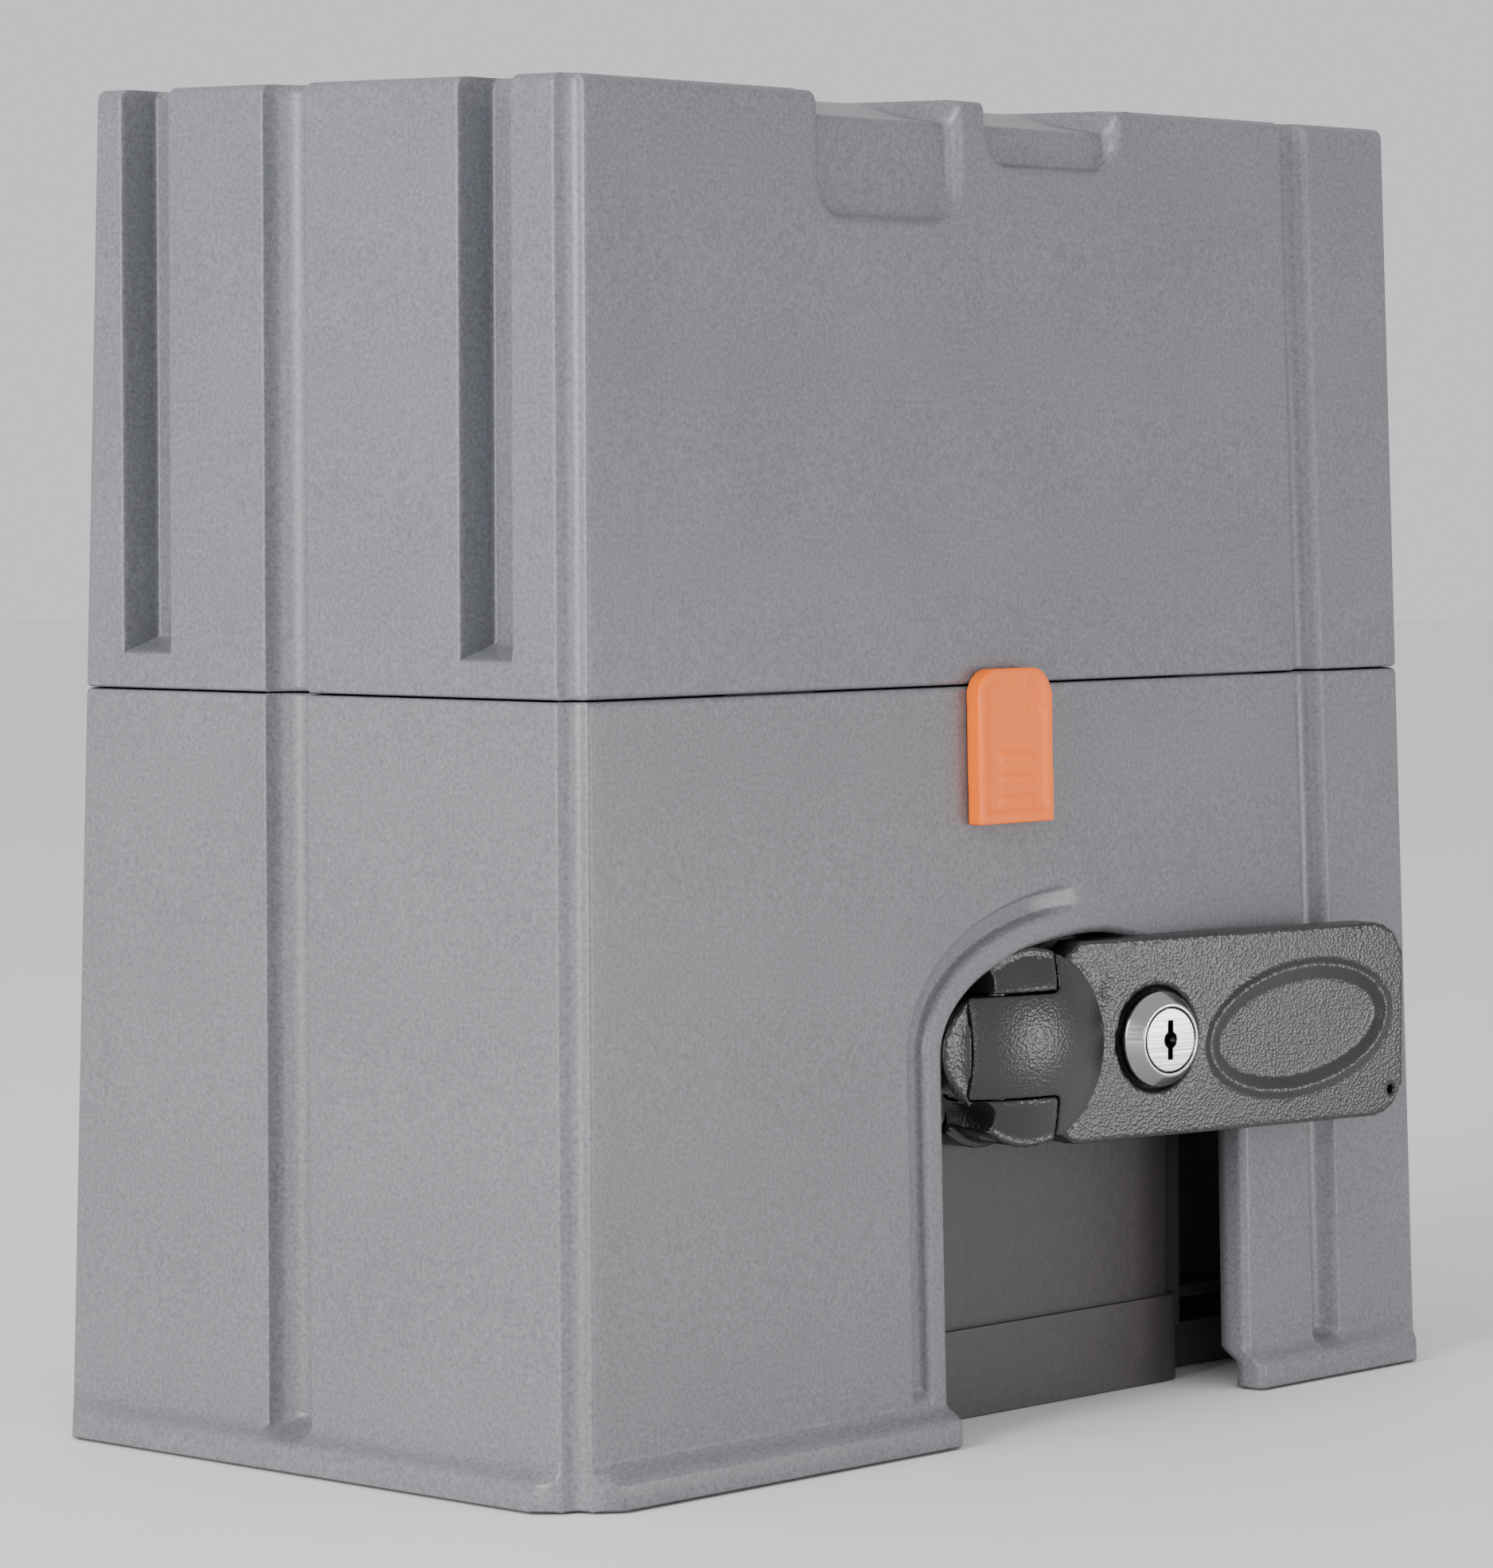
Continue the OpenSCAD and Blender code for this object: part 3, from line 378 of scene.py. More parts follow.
def channel_line(width, depth, reach, sigma):
    """(along the wall, depth) of a square channel with rounded edges."""
    half = width / 2
    return soft_line(
        [(-reach, 0), (-half, 0), (-half, depth), (half, depth), (half, 0), (reach, 0)], sigma)


def corner_line(radius, centre, reach, sigma):
    """(back along the incoming wall, on along the outgoing wall) of the corner's groove."""
    lean = math.asin(centre / radius)
    arc = [
        (centre + radius * math.cos(a), centre + radius * math.sin(a))
        for a in np.linspace(-lean, math.pi / 2 + lean, 40)
    ]
    return soft_line([(reach, 0)] + arc + [(0, reach)], sigma)


# A cover's outline is a closed run of points, front wall first, counter-clockwise from
# above. Each row of numbers holds one point's parts: how it leans with the walls, its
# fixed place, its drift with height, its feature's depth and that feature's fade, how the
# foot's flange pushes it out, and which way an inset tucks it in.
LEAN, FIXED, DRIFT = slice(0, 2), slice(2, 4), slice(4, 6)
DEPTH, PUSH, FADE, TUCK = slice(6, 8), slice(8, 10), 10, slice(11, 13)
FADES = {"none": 0, "groove": 1, "channel": 2}
WALLS = {
    "front": ((1, 0), (0, 1)), "right": ((0, 1), (-1, 0)),
    "back": ((-1, 0), (0, -1)), "left": ((0, -1), (1, 0)),
}
ORDER = ["front", "right", "back", "left"]
SIDE_GROOVE_Y, CHANNEL_FRONT_Y, CHANNEL_BACK_Y = 5.0, -52.7, 47.5
CORNER = corner_line(3.2, 1.0, CORNER_REACH, 0.75)
SIDE_GROOVE = groove_line(6.2, 0.8, GROOVE_REACH + 0.5, 0.6)
FACE_GROOVE = groove_line(4.8, -1.0, GROOVE_REACH - 0.5, 0.55)
CHANNEL = channel_line(14.4, 10.0, 9.1, 0.6)


def wall_features(cover):
    """Per wall: (place along it, drift per mm of height, profile, name of its fade)."""
    side = [(SIDE_GROOVE_Y, SIDE_DRIFT, SIDE_GROOVE, "groove")]
    if cover == "upper":
        side = [(CHANNEL_FRONT_Y, SIDE_DRIFT, CHANNEL, "channel")] + side
        side += [(CHANNEL_BACK_Y, SIDE_DRIFT, CHANNEL, "channel")]
    turned = [(-u, -drift, line, fade) for u, drift, line, fade in side[::-1]]
    pair = [(-FRONT_GROOVE_X, DRAFT, FACE_GROOVE, "groove"),
            (FRONT_GROOVE_X, -DRAFT, FACE_GROOVE, "groove")]
    return {"front": pair[1:], "right": side, "back": pair, "left": turned}


class Outline:
    """A cover's outline, and at which of its points each wall's flats begin and end."""

    def __init__(self, cover):
        rows = []
        marks = {}
        features = wall_features(cover)
        for number, wall in enumerate(ORDER):
            (tx, ty), (nx, ny) = WALLS[wall]
            (px, py), _ = WALLS[ORDER[number - 1]]
            marks[wall] = [len(rows)]
            for back, on in CORNER:
                lean = (-tx - nx, -ty - ny)
                fixed = (-px * back + tx * on, -py * back + ty * on)
                if back >= on:
                    push = (-tx * self.share(back), -ty * self.share(back))
                else:
                    push = (-nx * self.share(on), -ny * self.share(on))
                turn = back / (back + on)
                tuck = (tx * turn + nx * (1 - turn), ty * turn + ny * (1 - turn))
                rows.append((*lean, *fixed, 0, 0, 0, 0, *push, FADES["none"], *tuck))
            marks[wall].append(len(rows) - 1)
            for u, drift, line, fade in features[wall]:
                marks[wall].append(len(rows))
                for along, depth in line:
                    rows.append((
                        -nx, -ny, tx * (u + along), ty * (u + along), tx * drift, ty * drift,
                        nx * depth, ny * depth, -nx, -ny, FADES[fade], nx, ny,
                    ))
                marks[wall].append(len(rows) - 1)
        self.rows = np.array(rows, float)
        self.marks = marks
        self.cover = cover

    @staticmethod
    def share(reach):
        """How much of the flange a corner's point takes, by its distance from the corner."""
        return float(ease(4.0, CORNER_REACH, reach))

    def depth_share(self, z):
        """How deep each fade is at this height: none, groove, channel."""
        if self.cover == "lower":
            return np.array([0.0, float(ease(5.5, 10.0, z)), 0.0])
        return np.array([0.0, 1.0, float(ease(CHANNEL_FOOT, CHANNEL_FULL, z))])

    def flange(self, z):
        """How far the foot's flange stands out, with its bottom edge broken by half a mm."""
        if self.cover == "upper":
            return 0.0
        foot = 0.5 * max(0.0, 1 - z / 0.5)
        return FLANGE_OUT * float(1 - ease(FLANGE_LOW, FLANGE_HIGH, z)) - foot

    def at(self, z, inset=0.0):
        """The outline's (x, y) points at this height."""
        rows = self.rows
        share = self.depth_share(z)[rows[:, FADE].astype(int)][:, None]
        walls = np.array([wall_x(z), wall_y(z)])
        place = rows[:, LEAN] * walls + rows[:, FIXED] + rows[:, DRIFT] * z
        return (place + rows[:, DEPTH] * share + rows[:, PUSH] * self.flange(z)
                + rows[:, TUCK] * inset)


def edge_steps(radius, steps):
    """(rise left, inset) pairs for rounding an edge of this radius, ending at the edge."""
    angles = np.linspace(0, math.pi / 2, steps + 1)
    return [(radius * (1 - math.sin(a)), radius * (1 - math.cos(a))) for a in angles]


def level_rows(bm, outline, levels, rise):
    """One loop of vertices for each (height, inset); rise(y, z) is added to the height."""
    loops = []
    for z, inset in levels:
        loop = []
        for x, y in outline.at(z, inset):
            loop.append(bm.verts.new((x, y, z + rise(y, z))))
        loops.append(loop)
    return loops


def skin_rows(bm, loops, left_out):
    """Faces between the loops; left_out holds (row, column) pairs that something else fills."""
    count = len(loops[0])
    for row in range(len(loops) - 1):
        for column in range(count):
            if (row, column) in left_out:
                continue
            after = (column + 1) % count
            bm.faces.new((loops[row][column], loops[row][after],
                          loops[row + 1][after], loops[row + 1][column]))


def inside(point, polygon):
    """Whether a flat point lies in a closed polygon."""
    x, y = point
    found = False
    for (ax, ay), (bx, by) in zip(polygon, polygon[1:] + polygon[:1]):
        if (ay > y) != (by > y) and x < (bx - ax) * (y - ay) / (by - ay) + ax:
            found = not found
    return found


def fill_flat(bm, outer, holes, place):
    """Fills a flat region between closed runs of (u, v) with triangles; place(u, v) is 3-D."""
    points, edges = [], []
    for ring in [outer] + holes:
        first = len(points)
        points += ring
        edges += [(first + i, first + (i + 1) % len(ring)) for i in range(len(ring))]
    found = delaunay_2d_cdt([tuple(p) for p in points], edges, [], 0, 1e-5)
    spots, faces = found[0], found[2]
    made = {}
    for face in faces:
        middle = tuple(sum(spots[i][k] for i in face) / len(face) for k in (0, 1))
        if not inside(middle, outer) or any(inside(middle, hole) for hole in holes):
            continue
        for i in face:
            if i not in made:
                made[i] = bm.verts.new(place(spots[i][0], spots[i][1]))
        bm.faces.new([made[i] for i in face])


def grid_faces(bm, grid, closed=False):
    """Faces between rows of vertices, facing as (along a row) x (to the next row)."""
    count = len(grid[0])
    for low, high in zip(grid, grid[1:]):
        for i in range(count if closed else count - 1):
            after = (i + 1) % count
            bm.faces.new((low[i], low[after], high[after], high[i]))


# ---- openings in a wall ----
RIM_RADIUS = 2.0
ARCH_LEFT = -28.0
ARCH_RIGHT = 72.5
ARCH_SPRING = 81.0
ARCH_TOP = 103.9
ARCH_SHOULDER = 99.8
ARCH_CORNER = 7.0
ARCH_RING = 12.5
FOOT_TOP = 12.3
FOOT_LEVELS = [0.12, 0.6, 2.5, 5.0, 5.7, 6.4, 7.1, 7.8, 8.5, 9.0, 9.8, 10.6, 11.4, FOOT_TOP]
SHOULDER_FALL = (2.0, 48.0)
# distances out from the opening's edge, closer where its rim and groove turn
ARCH_OFFSETS = [ARCH_RING, 12.0, 11.6, 11.2, 10.8, 10.4, 10.0, 8.5, 7.0, 6.6, 6.2, 5.8, 5.4,
                5.0, 3.4, 2.0, 1.6, 1.2, 0.85, 0.55, 0.3, 0.12, 0.0]
ARCH_GROOVE = 2.5
PORT = (-14.6, -0.6, 132.5, 150.5)
REAR_HALF = 33.0
REAR_RIM = 2.0
REAR_SPRING = 45.0


def path_normals(path, closed):
    """Unit normals to the left of a path."""
    path = np.array(path, float)
    if closed:
        run = np.roll(path, -1, 0) - np.roll(path, 1, 0)
    else:
        run = np.gradient(path, axis=0)
    run /= np.linalg.norm(run, axis=1)[:, None]
    return np.c_[-run[:, 1], run[:, 0]]


def arc_points(cx, cz, rx, rz, start, end, count):
    angles = np.radians(np.linspace(start, end, count))
    return [(cx + rx * math.cos(a), cz + rz * math.sin(a)) for a in angles]


def rim_depth(e, radius):
    """Depth of a rounded rim at this distance from the opening's edge."""
    if e >= radius:
        return 0.0
    return radius - math.sqrt(max(0.0, radius * radius - (radius - e) ** 2))


def opening_ring(bm, path, offsets, returns, place, closed, extra=None):
    """A strip round an opening, from a flat outer edge over a rounded rim and inwards."""
    normals = path_normals(path, closed)
    radius = min(RIM_RADIUS, offsets[0])
    grid = []
    for e in offsets:
        row = []
        for i, ((u, z), (nu, nz)) in enumerate(zip(path, normals)):
            depth = rim_depth(e, radius) + (extra(e, u, z) if extra else 0.0)
            row.append(bm.verts.new(place(u + nu * e, z + nz * e, depth)))
        grid.append(row)
    for depth in returns:
        grid.append([bm.verts.new(place(u, z, depth)) for u, z in path])
    grid_faces(bm, grid[::-1], closed)
    edge = [(u + nu * offsets[0], z + nz * offsets[0]) for (u, z), (nu, nz) in zip(path, normals)]
    return edge


def arch_path():
    """The front opening's outline, up its left side, over the crown and down the right."""
    middle = (ARCH_LEFT + ARCH_RIGHT) / 2
    path = [(ARCH_LEFT, z) for z in FOOT_LEVELS] + [(ARCH_LEFT, z) for z in (30, 50, 66, 76)]
    path += arc_points(middle, ARCH_SPRING, middle - ARCH_LEFT, ARCH_TOP - ARCH_SPRING,
                       180, 90, 44)
    fall = ARCH_TOP - ARCH_SHOULDER
    low, high = middle + SHOULDER_FALL[0], SHOULDER_FALL[1]
    path += [(u, ARCH_TOP - fall * float(ease(low, high, u))) for u in range(26, 62, 3)]
    path += arc_points(ARCH_RIGHT - ARCH_CORNER, ARCH_SHOULDER - ARCH_CORNER, ARCH_CORNER,
                       ARCH_CORNER, 90, 0, 12)
    path += [(ARCH_RIGHT, z) for z in (80, 60, 40, 24)]
    return path + [(ARCH_RIGHT, z) for z in FOOT_LEVELS[::-1]]


def arch_groove(e, u, z):
    """Depth of the shallow groove that follows the opening's left side and crown."""
    profile = float(ease(5.4, 6.8, e) * (1 - ease(10.2, 11.6, e)))
    return ARCH_GROOVE * profile * float(1 - ease(4.0, 18.0, u)) * float(ease(9.0, 13.0, z))


def add_box(bm, low, high):
    """A block with small bevels, for a rib or tab inside a cover."""
    made = bmesh.ops.create_cube(bm, size=1.0)["verts"]
    size = [h - l for l, h in zip(low, high)]
    middle = [(h + l) / 2 for l, h in zip(low, high)]
    bmesh.ops.scale(bm, vec=size, verts=made)
    bmesh.ops.translate(bm, vec=middle, verts=made)
    edges = list({edge for vert in made for edge in vert.link_edges})
    bmesh.ops.bevel(bm, geom=edges, offset=0.4, segments=2, affect="EDGES", profile=0.5)


def thicken(obj):
    """Gives a skin its wall, inwards, and keeps the flats flat in the shading."""
    solid = obj.modifiers.new("wall", "SOLIDIFY")
    solid.thickness = WALL * MM
    solid.offset = -1.0
    solid.use_even_offset = False
    normals = obj.modifiers.new("flats", "WEIGHTED_NORMAL")
    normals.keep_sharp = False
    normals.weight = 100


def rounded_rectangle(u0, u1, z0, z1, r, steps=5):
    """A closed path, clockwise, so that its left normals point outwards."""
    path = []
    for cu, cz, start in ((u1 - r, z0 + r, 0), (u0 + r, z0 + r, -90),
                          (u0 + r, z1 - r, -180), (u1 - r, z1 - r, -270)):
        path += arc_points(cu, cz, r, r, start, start - 90, steps)
    return path


def front_place(u, z, depth):
    """A point of the lower cover's front wall, this deep in from its face."""
    return (u, -wall_y(z) + depth - LOWER.flange(z), z)


def back_place(u, z, depth):
    """A point of the lower cover's back wall, with u running the other way."""
    return (-u, wall_y(z) - depth + LOWER.flange(z), z)


def foot_fill(bm, loops, column, rows, edge, place):
    """Quads between one column of the loops and the ring's straight foot."""
    for row in range(rows):
        low, high = loops[row][column], loops[row + 1][column]
        near = [bm.verts.new(place(edge, FOOT_LEVELS[row + k], 0.0)) for k in (0, 1)]
        corners = (low, near[0], near[1], high)
        if edge > low.co.x * place(1, 0, 0)[0]:
            bm.faces.new(corners)
        else:
            bm.faces.new(corners[::-1])


def panel_with_openings(bm, loops, levels, left, right, ring_edge, holes, place, first, last):
    """The flat part of a wall between two columns, round an arched opening and any holes."""
    def column(number):
        return [(place(1, 0, 0)[0] * loops[row][number].co.x, levels[row][0])
                for row in range(first, last + 1)]
    arch = [p for p in ring_edge if p[1] > FOOT_TOP - 0.01]
    outer = arch + column(right) + column(left)[::-1]
    fill_flat(bm, outer, holes, lambda u, z: place(u, z, 0.0))


def build_lower_cover():
    """The ribbed lower cover: four walls, flange, front arch, port hole and rear slot."""
    bm = bmesh.new()
    edge = [(SEAM_Z - left, inset) for left, inset in edge_steps(SEAM_EDGE, 4)]
    levels = [(z, 0.0) for z in FOOT_LEVELS + [40.0, 80.0, 120.0]] + edge
    loops = level_rows(bm, LOWER, levels, lambda y, z: 0.0)
    first = len(FOOT_LEVELS) - 1
    last = first + 4
    front_left, front_right = LOWER.marks["front"][1], LOWER.marks["front"][2]
    back_left, back_right = LOWER.marks["back"][3], LOWER.marks["back"][4]
    left_out = {(row, column) for row in range(last) for column in (front_left, back_left)}
    skin_rows(bm, loops, left_out)

    ring = opening_ring(bm, arch_path(), ARCH_OFFSETS, (2.6, 4.5, 7.0), front_place, False,
                        arch_groove)
    port = rounded_rectangle(*PORT, 1.0)
    port_edge = opening_ring(bm, port, [0.8, 0.5, 0.25, 0.1, 0.0], (1.5, 2.9), front_place, True)
    panel_with_openings(bm, loops, levels, front_left, front_right, ring, [port_edge],
                        front_place, first, last)
    foot_fill(bm, loops, front_left, first, ARCH_LEFT - ARCH_RING, front_place)
    foot_fill(bm, loops, front_right, first, ARCH_RIGHT + ARCH_RING, front_place)

    slot = [(-REAR_HALF, z) for z in FOOT_LEVELS + [REAR_SPRING]]
    slot += arc_points(0, SHAFT_Z, REAR_HALF, REAR_HALF, 180, 0, 48)
    slot += [(REAR_HALF, z) for z in [REAR_SPRING] + FOOT_LEVELS[::-1]]
    rear = opening_ring(bm, slot, [REAR_RIM, 1.5, 1.0, 0.6, 0.3, 0.1, 0.0], (2.5, 3.2),
                        back_place, False)
    panel_with_openings(bm, loops, levels, back_left, back_right, rear, [], back_place,
                        first, last)
    foot_fill(bm, loops, back_left, first, -REAR_HALF - REAR_RIM, back_place)
    foot_fill(bm, loops, back_right, first, REAR_HALF + REAR_RIM, back_place)

    bmesh.ops.remove_doubles(bm, verts=bm.verts, dist=0.002)
    obj = new_piece("lower_cover_shell", bm, LOWER_COVER)
    thicken(obj)
    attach(obj, "drive_unit")
    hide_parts("lower_cover")


TAB_X = 118.0
TONGUE_Y = 69.3
TONGUES = ((-88.0, -62.0), (58.0, 84.0))


def build_cover_tabs():
    """Inside the lower cover: the two screwed tabs, and the tongues that locate the lid."""
    bm = bmesh.new()
    for side in (-1, 1):
        x = side * TAB_X
        add_box(bm, (x - 19, -22.0, 10.1), (x + 19, -8.0, 13.1))
        y = side * TONGUE_Y
        root = y + side * 1.5
        for x0, x1 in TONGUES:
            add_box(bm, (x0, y - 1, 150.0), (x1, y + 1, 163.0))
            add_box(bm, (x0 + 0.3, root - 1, 150.3), (x1 - 0.3, root + 1, 157.5))
    tabs = new_piece("lower_cover_tabs", bm, LOWER_COVER)
    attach(tabs, "drive_unit")


# ---- upper cover ----
# The patch of front wall and top that holds the grip is a fine grid of its own, from
# GRIP_X0 to GRIP_X1 and from the height GRIP_LOW over the top edge back to GRIP_BACK.
GRIP_X0, GRIP_X1 = -67.0, 39.5
GRIP_LOW = 246.0
GRIP_BACK = -28.0
GRIP_DEPTH = 3.0
GRIP_DROP = 4.5
GRIP_BAYS = ((-61.5, -18.0, 254.7), (-9.0, 34.0, 267.0))
BAY_CORNER = 8.0
GRIP_RIM = 1.1
GRIP_START, GRIP_RUN = -71.4, 34.0
TOP_START = -70.0
LEDGE = [CHANNEL_FOOT, 165.7, 166.2, 166.8, 167.4, 168.0, 168.6, CHANNEL_FULL]


def bay_mask(x, z):
    """1 inside a grip bay, 0 outside, with a soft rim."""
    best = 0.0
    for x0, x1, low in GRIP_BAYS:
        qx = abs(x - (x0 + x1) / 2) - (x1 - x0) / 2 + BAY_CORNER
        qz = low - z + BAY_CORNER
        away = math.hypot(max(qx, 0), max(qz, 0)) + min(max(qx, qz), 0) - BAY_CORNER
        best = max(best, float(1 - ease(-GRIP_RIM, GRIP_RIM, away)))
    return best


def grip_point(x, y, z):
    """Sinks a point of the front wall or the top into the grip's bays."""
    mask = bay_mask(x, z if y < -HALF_D + 10 else TOP_Z)
    back = min(max((y - GRIP_START) / GRIP_RUN, 0.0), 1.0)
    drop = GRIP_DROP * float(ease(264.0, 279.5, z)) * (1 - float(ease(0.0, 1.0, back)))
    return (x, y + GRIP_DEPTH * mask * (1 - back), z - drop * mask)


def steps_between(low, high, step):
    """Evenly spaced values from low to high, about a step apart."""
    count = max(1, int(round((high - low) / step)))
    return [low + (high - low) * i / count for i in range(count + 1)]


def lid_rise(y, z):
    """How far the sloping top lifts a point of the walls, from nothing at mid height."""
    return (top_z(y) - TOP_Z) * float(np.clip((z - 200.0) / (TOP_Z - 210.0), 0, 1))


def lid_front(u, z):
    """A point of the upper cover's flat front wall."""
    return (u, -wall_y(z), z + lid_rise(-wall_y(z), z))


def edge_strip(bm, loops, levels, number, x, first):
    """Quads from a column of the loops to the grip patch, over the rounded top edge."""
    for row in range(first, len(levels) - 1):
        low, high = loops[row][number], loops[row + 1][number]
        near = []
        for z, inset in levels[row:row + 2]:
            y = -wall_y(z) + inset
            near.append(bm.verts.new((x, y, z + lid_rise(y, z))))
        corners = (low, near[0], near[1], high)
        bm.faces.new(corners if x > low.co.x else corners[::-1])


def grip_patch(bm, levels, edge_row):
    """The grid that holds the grip; gives back its columns, its wall heights and its line."""
    xs = steps_between(GRIP_X0, GRIP_X1, 0.8)
    up = steps_between(GRIP_LOW, levels[edge_row][0], 1.0)
    spine = [(-wall_y(z), z) for z in up]
    spine += [(-wall_y(z) + inset, z) for z, inset in levels[edge_row + 1:]]
    spine += [(y, top_z(y)) for y in steps_between(spine[-1][0], GRIP_BACK, 2.6)[1:]]
    grid = []
    for y, z in spine:
        lift = lid_rise(y, z) if y < TOP_START else 0.0
        grid.append([bm.verts.new(grip_point(x, y, z + lift)) for x in xs])
    grid_faces(bm, grid)
    return xs, up, spine


def fill_round_grip(bm, loops, levels, edge_row, columns, xs, up):
    """The flat front wall below the grip patch and on both sides of it."""
    below = levels[edge_row - 2][0]
    left, left_up, right, right_up = [
        loops[row][n].co.x for n in columns for row in (edge_row - 1, edge_row)]
    outer = [(loops[edge_row - 2][n].co.x, below) for n in columns]
    outer += [(right, GRIP_LOW)] + [(x, GRIP_LOW) for x in xs[::-1]] + [(left, GRIP_LOW)]
    fill_flat(bm, outer, [], lid_front)
    outer = [(left, GRIP_LOW), (GRIP_X0, GRIP_LOW)] + [(GRIP_X0, z) for z in up[1:]]
    fill_flat(bm, outer + [(left_up, up[-1])], [], lid_front)
    outer = [(GRIP_X1, GRIP_LOW), (right, GRIP_LOW), (right_up, up[-1])]
    fill_flat(bm, outer + [(GRIP_X1, z) for z in up[:0:-1]], [], lid_front)


def fill_top(bm, rim, columns, xs, ys):
    """The flat top, round the grip patch; rim is the outline's last loop."""
    left, right = columns
    run = rim[right:] + rim[:left + 1]
    run += [(GRIP_X0, y) for y in ys] + [(x, GRIP_BACK) for x in xs[1:]]
    run += [(GRIP_X1, y) for y in ys[-2::-1]]
    fill_flat(bm, run, [], lambda x, y: (x, y, top_z(y)))


def build_upper_cover():
    """The ribbed upper cover: four walls with channels, the top, and the grip in its edge."""
    bm = bmesh.new()
    foot = [(UPPER_BOX[0].z + left, inset) for left, inset in edge_steps(SEAM_EDGE, 4)[::-1]]
    crown = [(TOP_Z - left, inset) for left, inset in edge_steps(TOP_EDGE, 5)]
    middle = [(z, 0.0) for z in LEDGE + [200.0, 230.0, GRIP_LOW]]
    levels = foot + middle + crown
    edge_row = len(foot) + len(middle)

    loops = level_rows(bm, UPPER, levels, lid_rise)
    columns = UPPER.marks["front"][1:3]
    skin_rows(bm, loops, {(row, columns[0]) for row in range(edge_row - 2, len(levels) - 1)})
    xs, up, spine = grip_patch(bm, levels, edge_row)
    edge_strip(bm, loops, levels, columns[0], GRIP_X0, edge_row)
    edge_strip(bm, loops, levels, columns[1], GRIP_X1, edge_row)
    fill_round_grip(bm, loops, levels, edge_row, columns, xs, up)
    top_from = spine[len(up) + len(crown) - 2][0] - 1e-6
    rim = [(v.co.x, v.co.y) for v in loops[-1]]
    fill_top(bm, rim, columns, xs, [y for y, z in spine if y >= top_from])

    bmesh.ops.remove_doubles(bm, verts=bm.verts, dist=0.004)
    obj = new_piece("upper_cover_shell", bm, COVER)
    thicken(obj)
    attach(obj, "upper_cover")
    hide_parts("upper_cover")


LOWER = Outline("lower")
UPPER = Outline("upper")


# ---- CAD nodes kept, with softened edges and their own materials ----
def soften(node, width):
    """Rounds a kept CAD node's sharp edges without touching its mesh."""
    obj = frame["nodes"][node]
    weld = obj.modifiers.new("weld", "WELD")
    weld.merge_threshold = 0.002 * MM
    flat = obj.modifiers.new("flat", "DECIMATE")
    flat.decimate_type = "DISSOLVE"
    flat.angle_limit = math.radians(0.6)
    bevel = obj.modifiers.new("edge", "BEVEL")
    bevel.width = width * MM
    bevel.segments = 3
    bevel.limit_method = "ANGLE"
    bevel.angle_limit = math.radians(35.0)
    normals = obj.modifiers.new("flats", "WEIGHTED_NORMAL")
    normals.weight = 60


# ---- moulded release parts: remade from their CAD solids with rounded edges ----
HUB_Y = -74.6
LEVER_TURN = math.radians(10.0)
HUB_R = 20.0
DOME_H = 5.0
DOME_R = (HUB_R ** 2 + DOME_H ** 2) / (2 * DOME_H)
DOME_TOLERANCE = 0.35
HUB_SWELL = 0.06
SWELL_FROM, SWELL_TO = 20.5, 25.5
KNUCKLE_LEFT = -17.2
HUB_LEFT_OUT = 4.2


def to_lever(points):
    """Points in millimetres, in the lever's own frame: along it, back from its face, up."""
    c, s = math.cos(LEVER_TURN), math.sin(LEVER_TURN)
    x, y = points[:, 0], points[:, 1] - HUB_Y
    return np.c_[c * x - s * y, s * x + c * y, points[:, 2]]


def from_lever(points):
    """The way back from the lever's own frame."""
    c, s = math.cos(LEVER_TURN), math.sin(LEVER_TURN)
    x, y = points[:, 0], points[:, 1]
    return np.c_[c * x + s * y, -s * x + c * y + HUB_Y, points[:, 2]]


def swell_hub(points):
    """Lays the dome on its sphere, fills the hub out, and carries its left rim further."""
    local = to_lever(points)
    centre = np.array([0.0, DOME_R - DOME_H, SHAFT_Z])
    away = local - centre
    reach = np.linalg.norm(away, axis=1)
    near = (np.abs(reach - DOME_R) < DOME_TOLERANCE) & (away[:, 1] < -30.0)
    local[near] = centre + away[near] * (DOME_R / reach[near])[:, None]
    flat = np.hypot(local[:, 0], local[:, 2] - SHAFT_Z)
    share = 1 - ease(SWELL_FROM, SWELL_TO, flat)
    beyond = np.clip((KNUCKLE_LEFT - local[:, 0]) / (KNUCKLE_LEFT + HUB_R), 0.0, 1.0)
    local[:, 0] += np.where(local[:, 0] > 0, local[:, 0] * HUB_SWELL, 0.0) * share
    local[:, 0] -= HUB_LEFT_OUT * beyond
    local[:, 2] += (local[:, 2] - SHAFT_Z) * HUB_SWELL * share
    return from_lever(local)


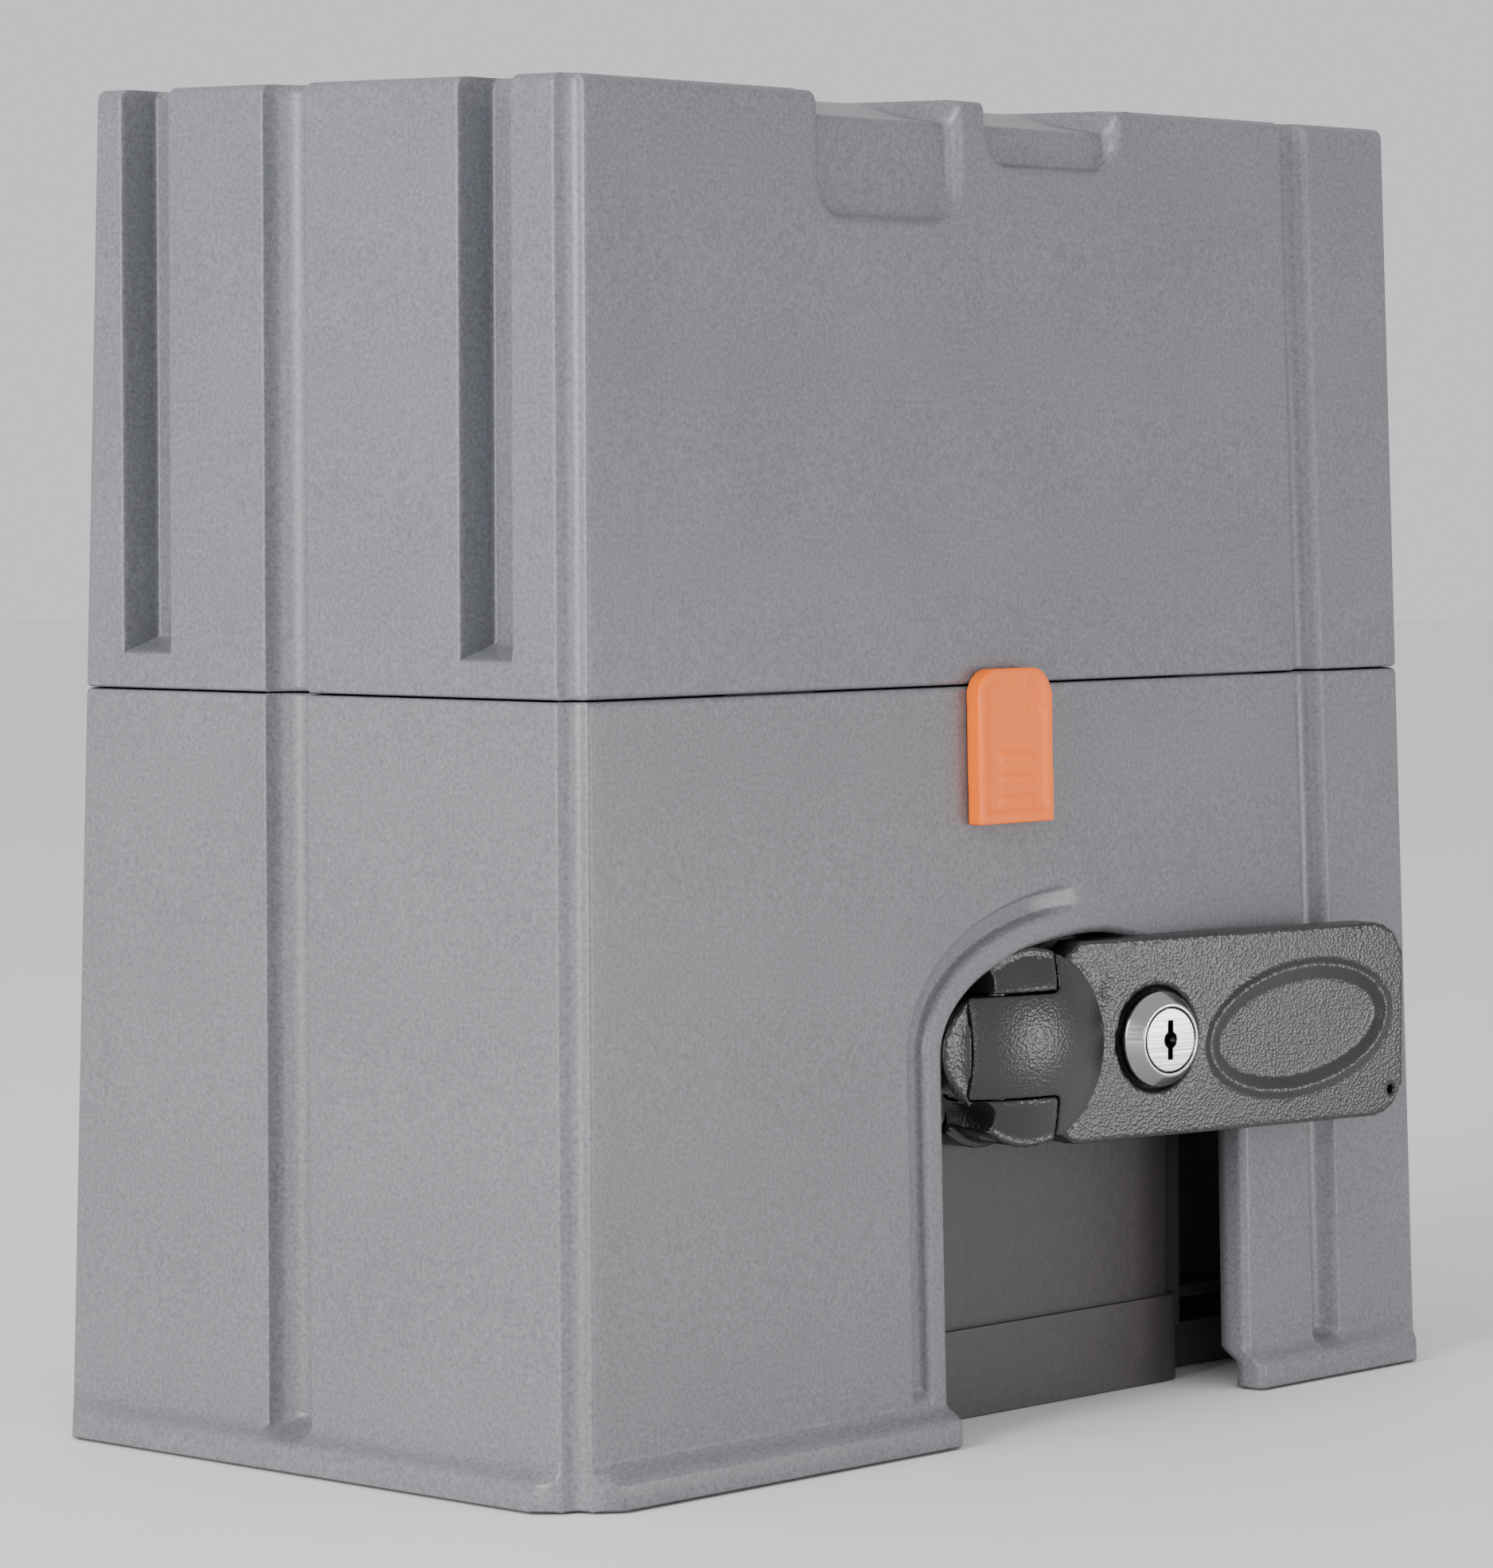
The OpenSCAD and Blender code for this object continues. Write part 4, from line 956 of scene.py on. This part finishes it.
def moulded(node, body, voxel, passes, keep, slot_name, reshape=None):
    """A CAD node's solid remade as one moulded skin: remeshed, smoothed and thinned.

    voxel is in millimetres; passes of smoothing round the edges; keep is the share of the
    faces that the thinning leaves; reshape moves the points, in millimetres.
    """
    bm = bmesh.new()
    bm.from_mesh(frame["nodes"][node].data)
    bmesh.ops.remove_doubles(bm, verts=bm.verts, dist=0.001 * MM)
    rough = bpy.data.meshes.new(node + "_rough")
    bm.to_mesh(rough)
    bm.free()
    source = link(bpy.data.objects.new(node + "_source", rough))
    remesh = source.modifiers.new("remesh", "REMESH")
    remesh.mode = "VOXEL"
    remesh.voxel_size = voxel * MM
    shaped = source.evaluated_get(bpy.context.evaluated_depsgraph_get())
    mesh = bpy.data.meshes.new_from_object(shaped)
    bpy.data.objects.remove(source)
    bm = bmesh.new()
    bm.from_mesh(mesh)
    for _ in range(passes):
        bmesh.ops.smooth_vert(bm, verts=bm.verts, factor=0.5, use_axis_x=True,
                              use_axis_y=True, use_axis_z=True)
    if reshape:
        points = reshape(np.array([v.co for v in bm.verts]) / MM)
        for vert, point in zip(bm.verts, points):
            vert.co = point * MM
    bm.to_mesh(mesh)
    bm.free()
    for face in mesh.polygons:
        face.use_smooth = True
    mesh.materials.clear()
    mesh.materials.append(MATERIALS[slot_name])
    obj = link(bpy.data.objects.new(node + "_moulded", mesh))
    thinner = obj.modifiers.new("thinner", "DECIMATE")
    thinner.ratio = keep
    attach(obj, body)
    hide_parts(node)


def close_tube(bm, rows):
    """Joins closed rows of vertices into a tube, caps both ends and turns it outwards."""
    grid_faces(bm, rows, True)
    bm.faces.new(rows[0][::-1])
    bm.faces.new(rows[-1])
    bmesh.ops.recalc_face_normals(bm, faces=bm.faces)


SPRING_WIRE = 0.55
SPRING_TURNS = 5.5
TURN_STEPS = 24
RING_STEPS = 8


def build_spring():
    """The clutch spring as a real wound coil."""
    low, high = (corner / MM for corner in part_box("clutch_spring"))
    coil_r = high.x - SPRING_WIRE
    start, end = low.y + SPRING_WIRE, high.y - SPRING_WIRE
    count = SPRING_TURNS * TURN_STEPS
    bm = bmesh.new()
    rows = []
    for i in range(int(count) + 1):
        turn = 2 * math.pi * i / TURN_STEPS
        y = start + (end - start) * i / count
        row = []
        for k in range(RING_STEPS):
            a = 2 * math.pi * k / RING_STEPS
            r = coil_r + SPRING_WIRE * math.cos(a)
            row.append(bm.verts.new((r * math.cos(turn), y + SPRING_WIRE * math.sin(a),
                                     SHAFT_Z + r * math.sin(turn))))
        rows.append(row)
    close_tube(bm, rows)
    spring = new_piece("clutch_spring_coil", bm, MATERIALS["spring_steel"])
    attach(spring, "output")
    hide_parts("clutch_spring")
    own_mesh(spring)


RIB_FRONT, RIB_BACK, RIB_CHAMFER, RIB_OUT = -49.0, 45.0, 3.5, 12.0
# (height, how far it draws in): straight sides with a rounded shoulder at the top
RIB_LEVELS = ((10.0, 0.0), (106.0, 0.0), (108.4, 0.8), (109.4, 2.6))


def build_side_rib():
    """The cast rib down the right side of the gearbox, set back behind its front."""
    wall = (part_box("gearbox_cover")[1] / MM).x
    plan = [(wall - 1, RIB_FRONT + 3), (wall + 8, RIB_FRONT),
            (wall + RIB_OUT, RIB_FRONT + RIB_CHAMFER), (wall + RIB_OUT, RIB_BACK - RIB_CHAMFER),
            (wall + 8.5, RIB_BACK), (wall - 1, RIB_BACK)]
    bm = bmesh.new()
    close_tube(bm, [[bm.verts.new((x - inset, y, z)) for x, y in plan]
                    for z, inset in RIB_LEVELS])
    rib = new_piece("gearbox_side_rib", bm, MATERIALS["gearbox_black"])
    rounding = rib.modifiers.new("edge", "BEVEL")
    rounding.width = 2.0 * MM
    rounding.segments = 4
    rounding.angle_limit = math.radians(25)
    rib.modifiers.new("flats", "WEIGHTED_NORMAL")
    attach(rib, "drive_unit")


def dress_nodes():
    """Every carried-over CAD node gets its slot's material."""
    for row in frame["record"]["subparts"]:
        obj = frame["nodes"][row["node"]]
        material = MATERIALS[row["material_slot"]]
        obj.data.materials.clear()
        obj.data.materials.append(material)


def build_stage():
    """A pale floor, a plain white sky and the three soft lights."""
    bm = bmesh.new()
    bmesh.ops.create_grid(bm, x_segments=8, y_segments=8, size=6000.0)
    paint = grained("floor_paint", (0.93, 0.93, 0.93), 0.7, 60.0, 0.0002, 0.01)
    floor = new_piece("floor", bm, paint)
    floor.location.z = -FLOOR_DROP
    world = bpy.data.worlds.new("studio")
    world.use_nodes = True
    sky = world.node_tree.nodes["Background"]
    sky.inputs["Color"].default_value = (1.0, 1.0, 1.0, 1.0)
    sky.inputs["Strength"].default_value = SKY_STRENGTH
    bpy.context.scene.world = world
    for light in LIGHTS:
        make_light(*light)


make_camera()
build_stage()
dress_nodes()
build_lower_cover()
build_cover_tabs()
build_upper_cover()
moulded("release_lever", "lever", 0.5, 4, 0.3, "lever_black", swell_hub)
moulded("release_hub", "drive_unit", 0.5, 4, 0.3, "lever_black", swell_hub)
moulded("port_cap", "port_cap", 0.35, 3, 0.3, "cap_orange")
build_spring()
build_side_rib()
for node, width in (("lock_housing", 0.3), ("lock_plug", 0.2), ("gearbox_housing", 1.2)):
    soften(node, width)

bpy.context.view_layer.update()
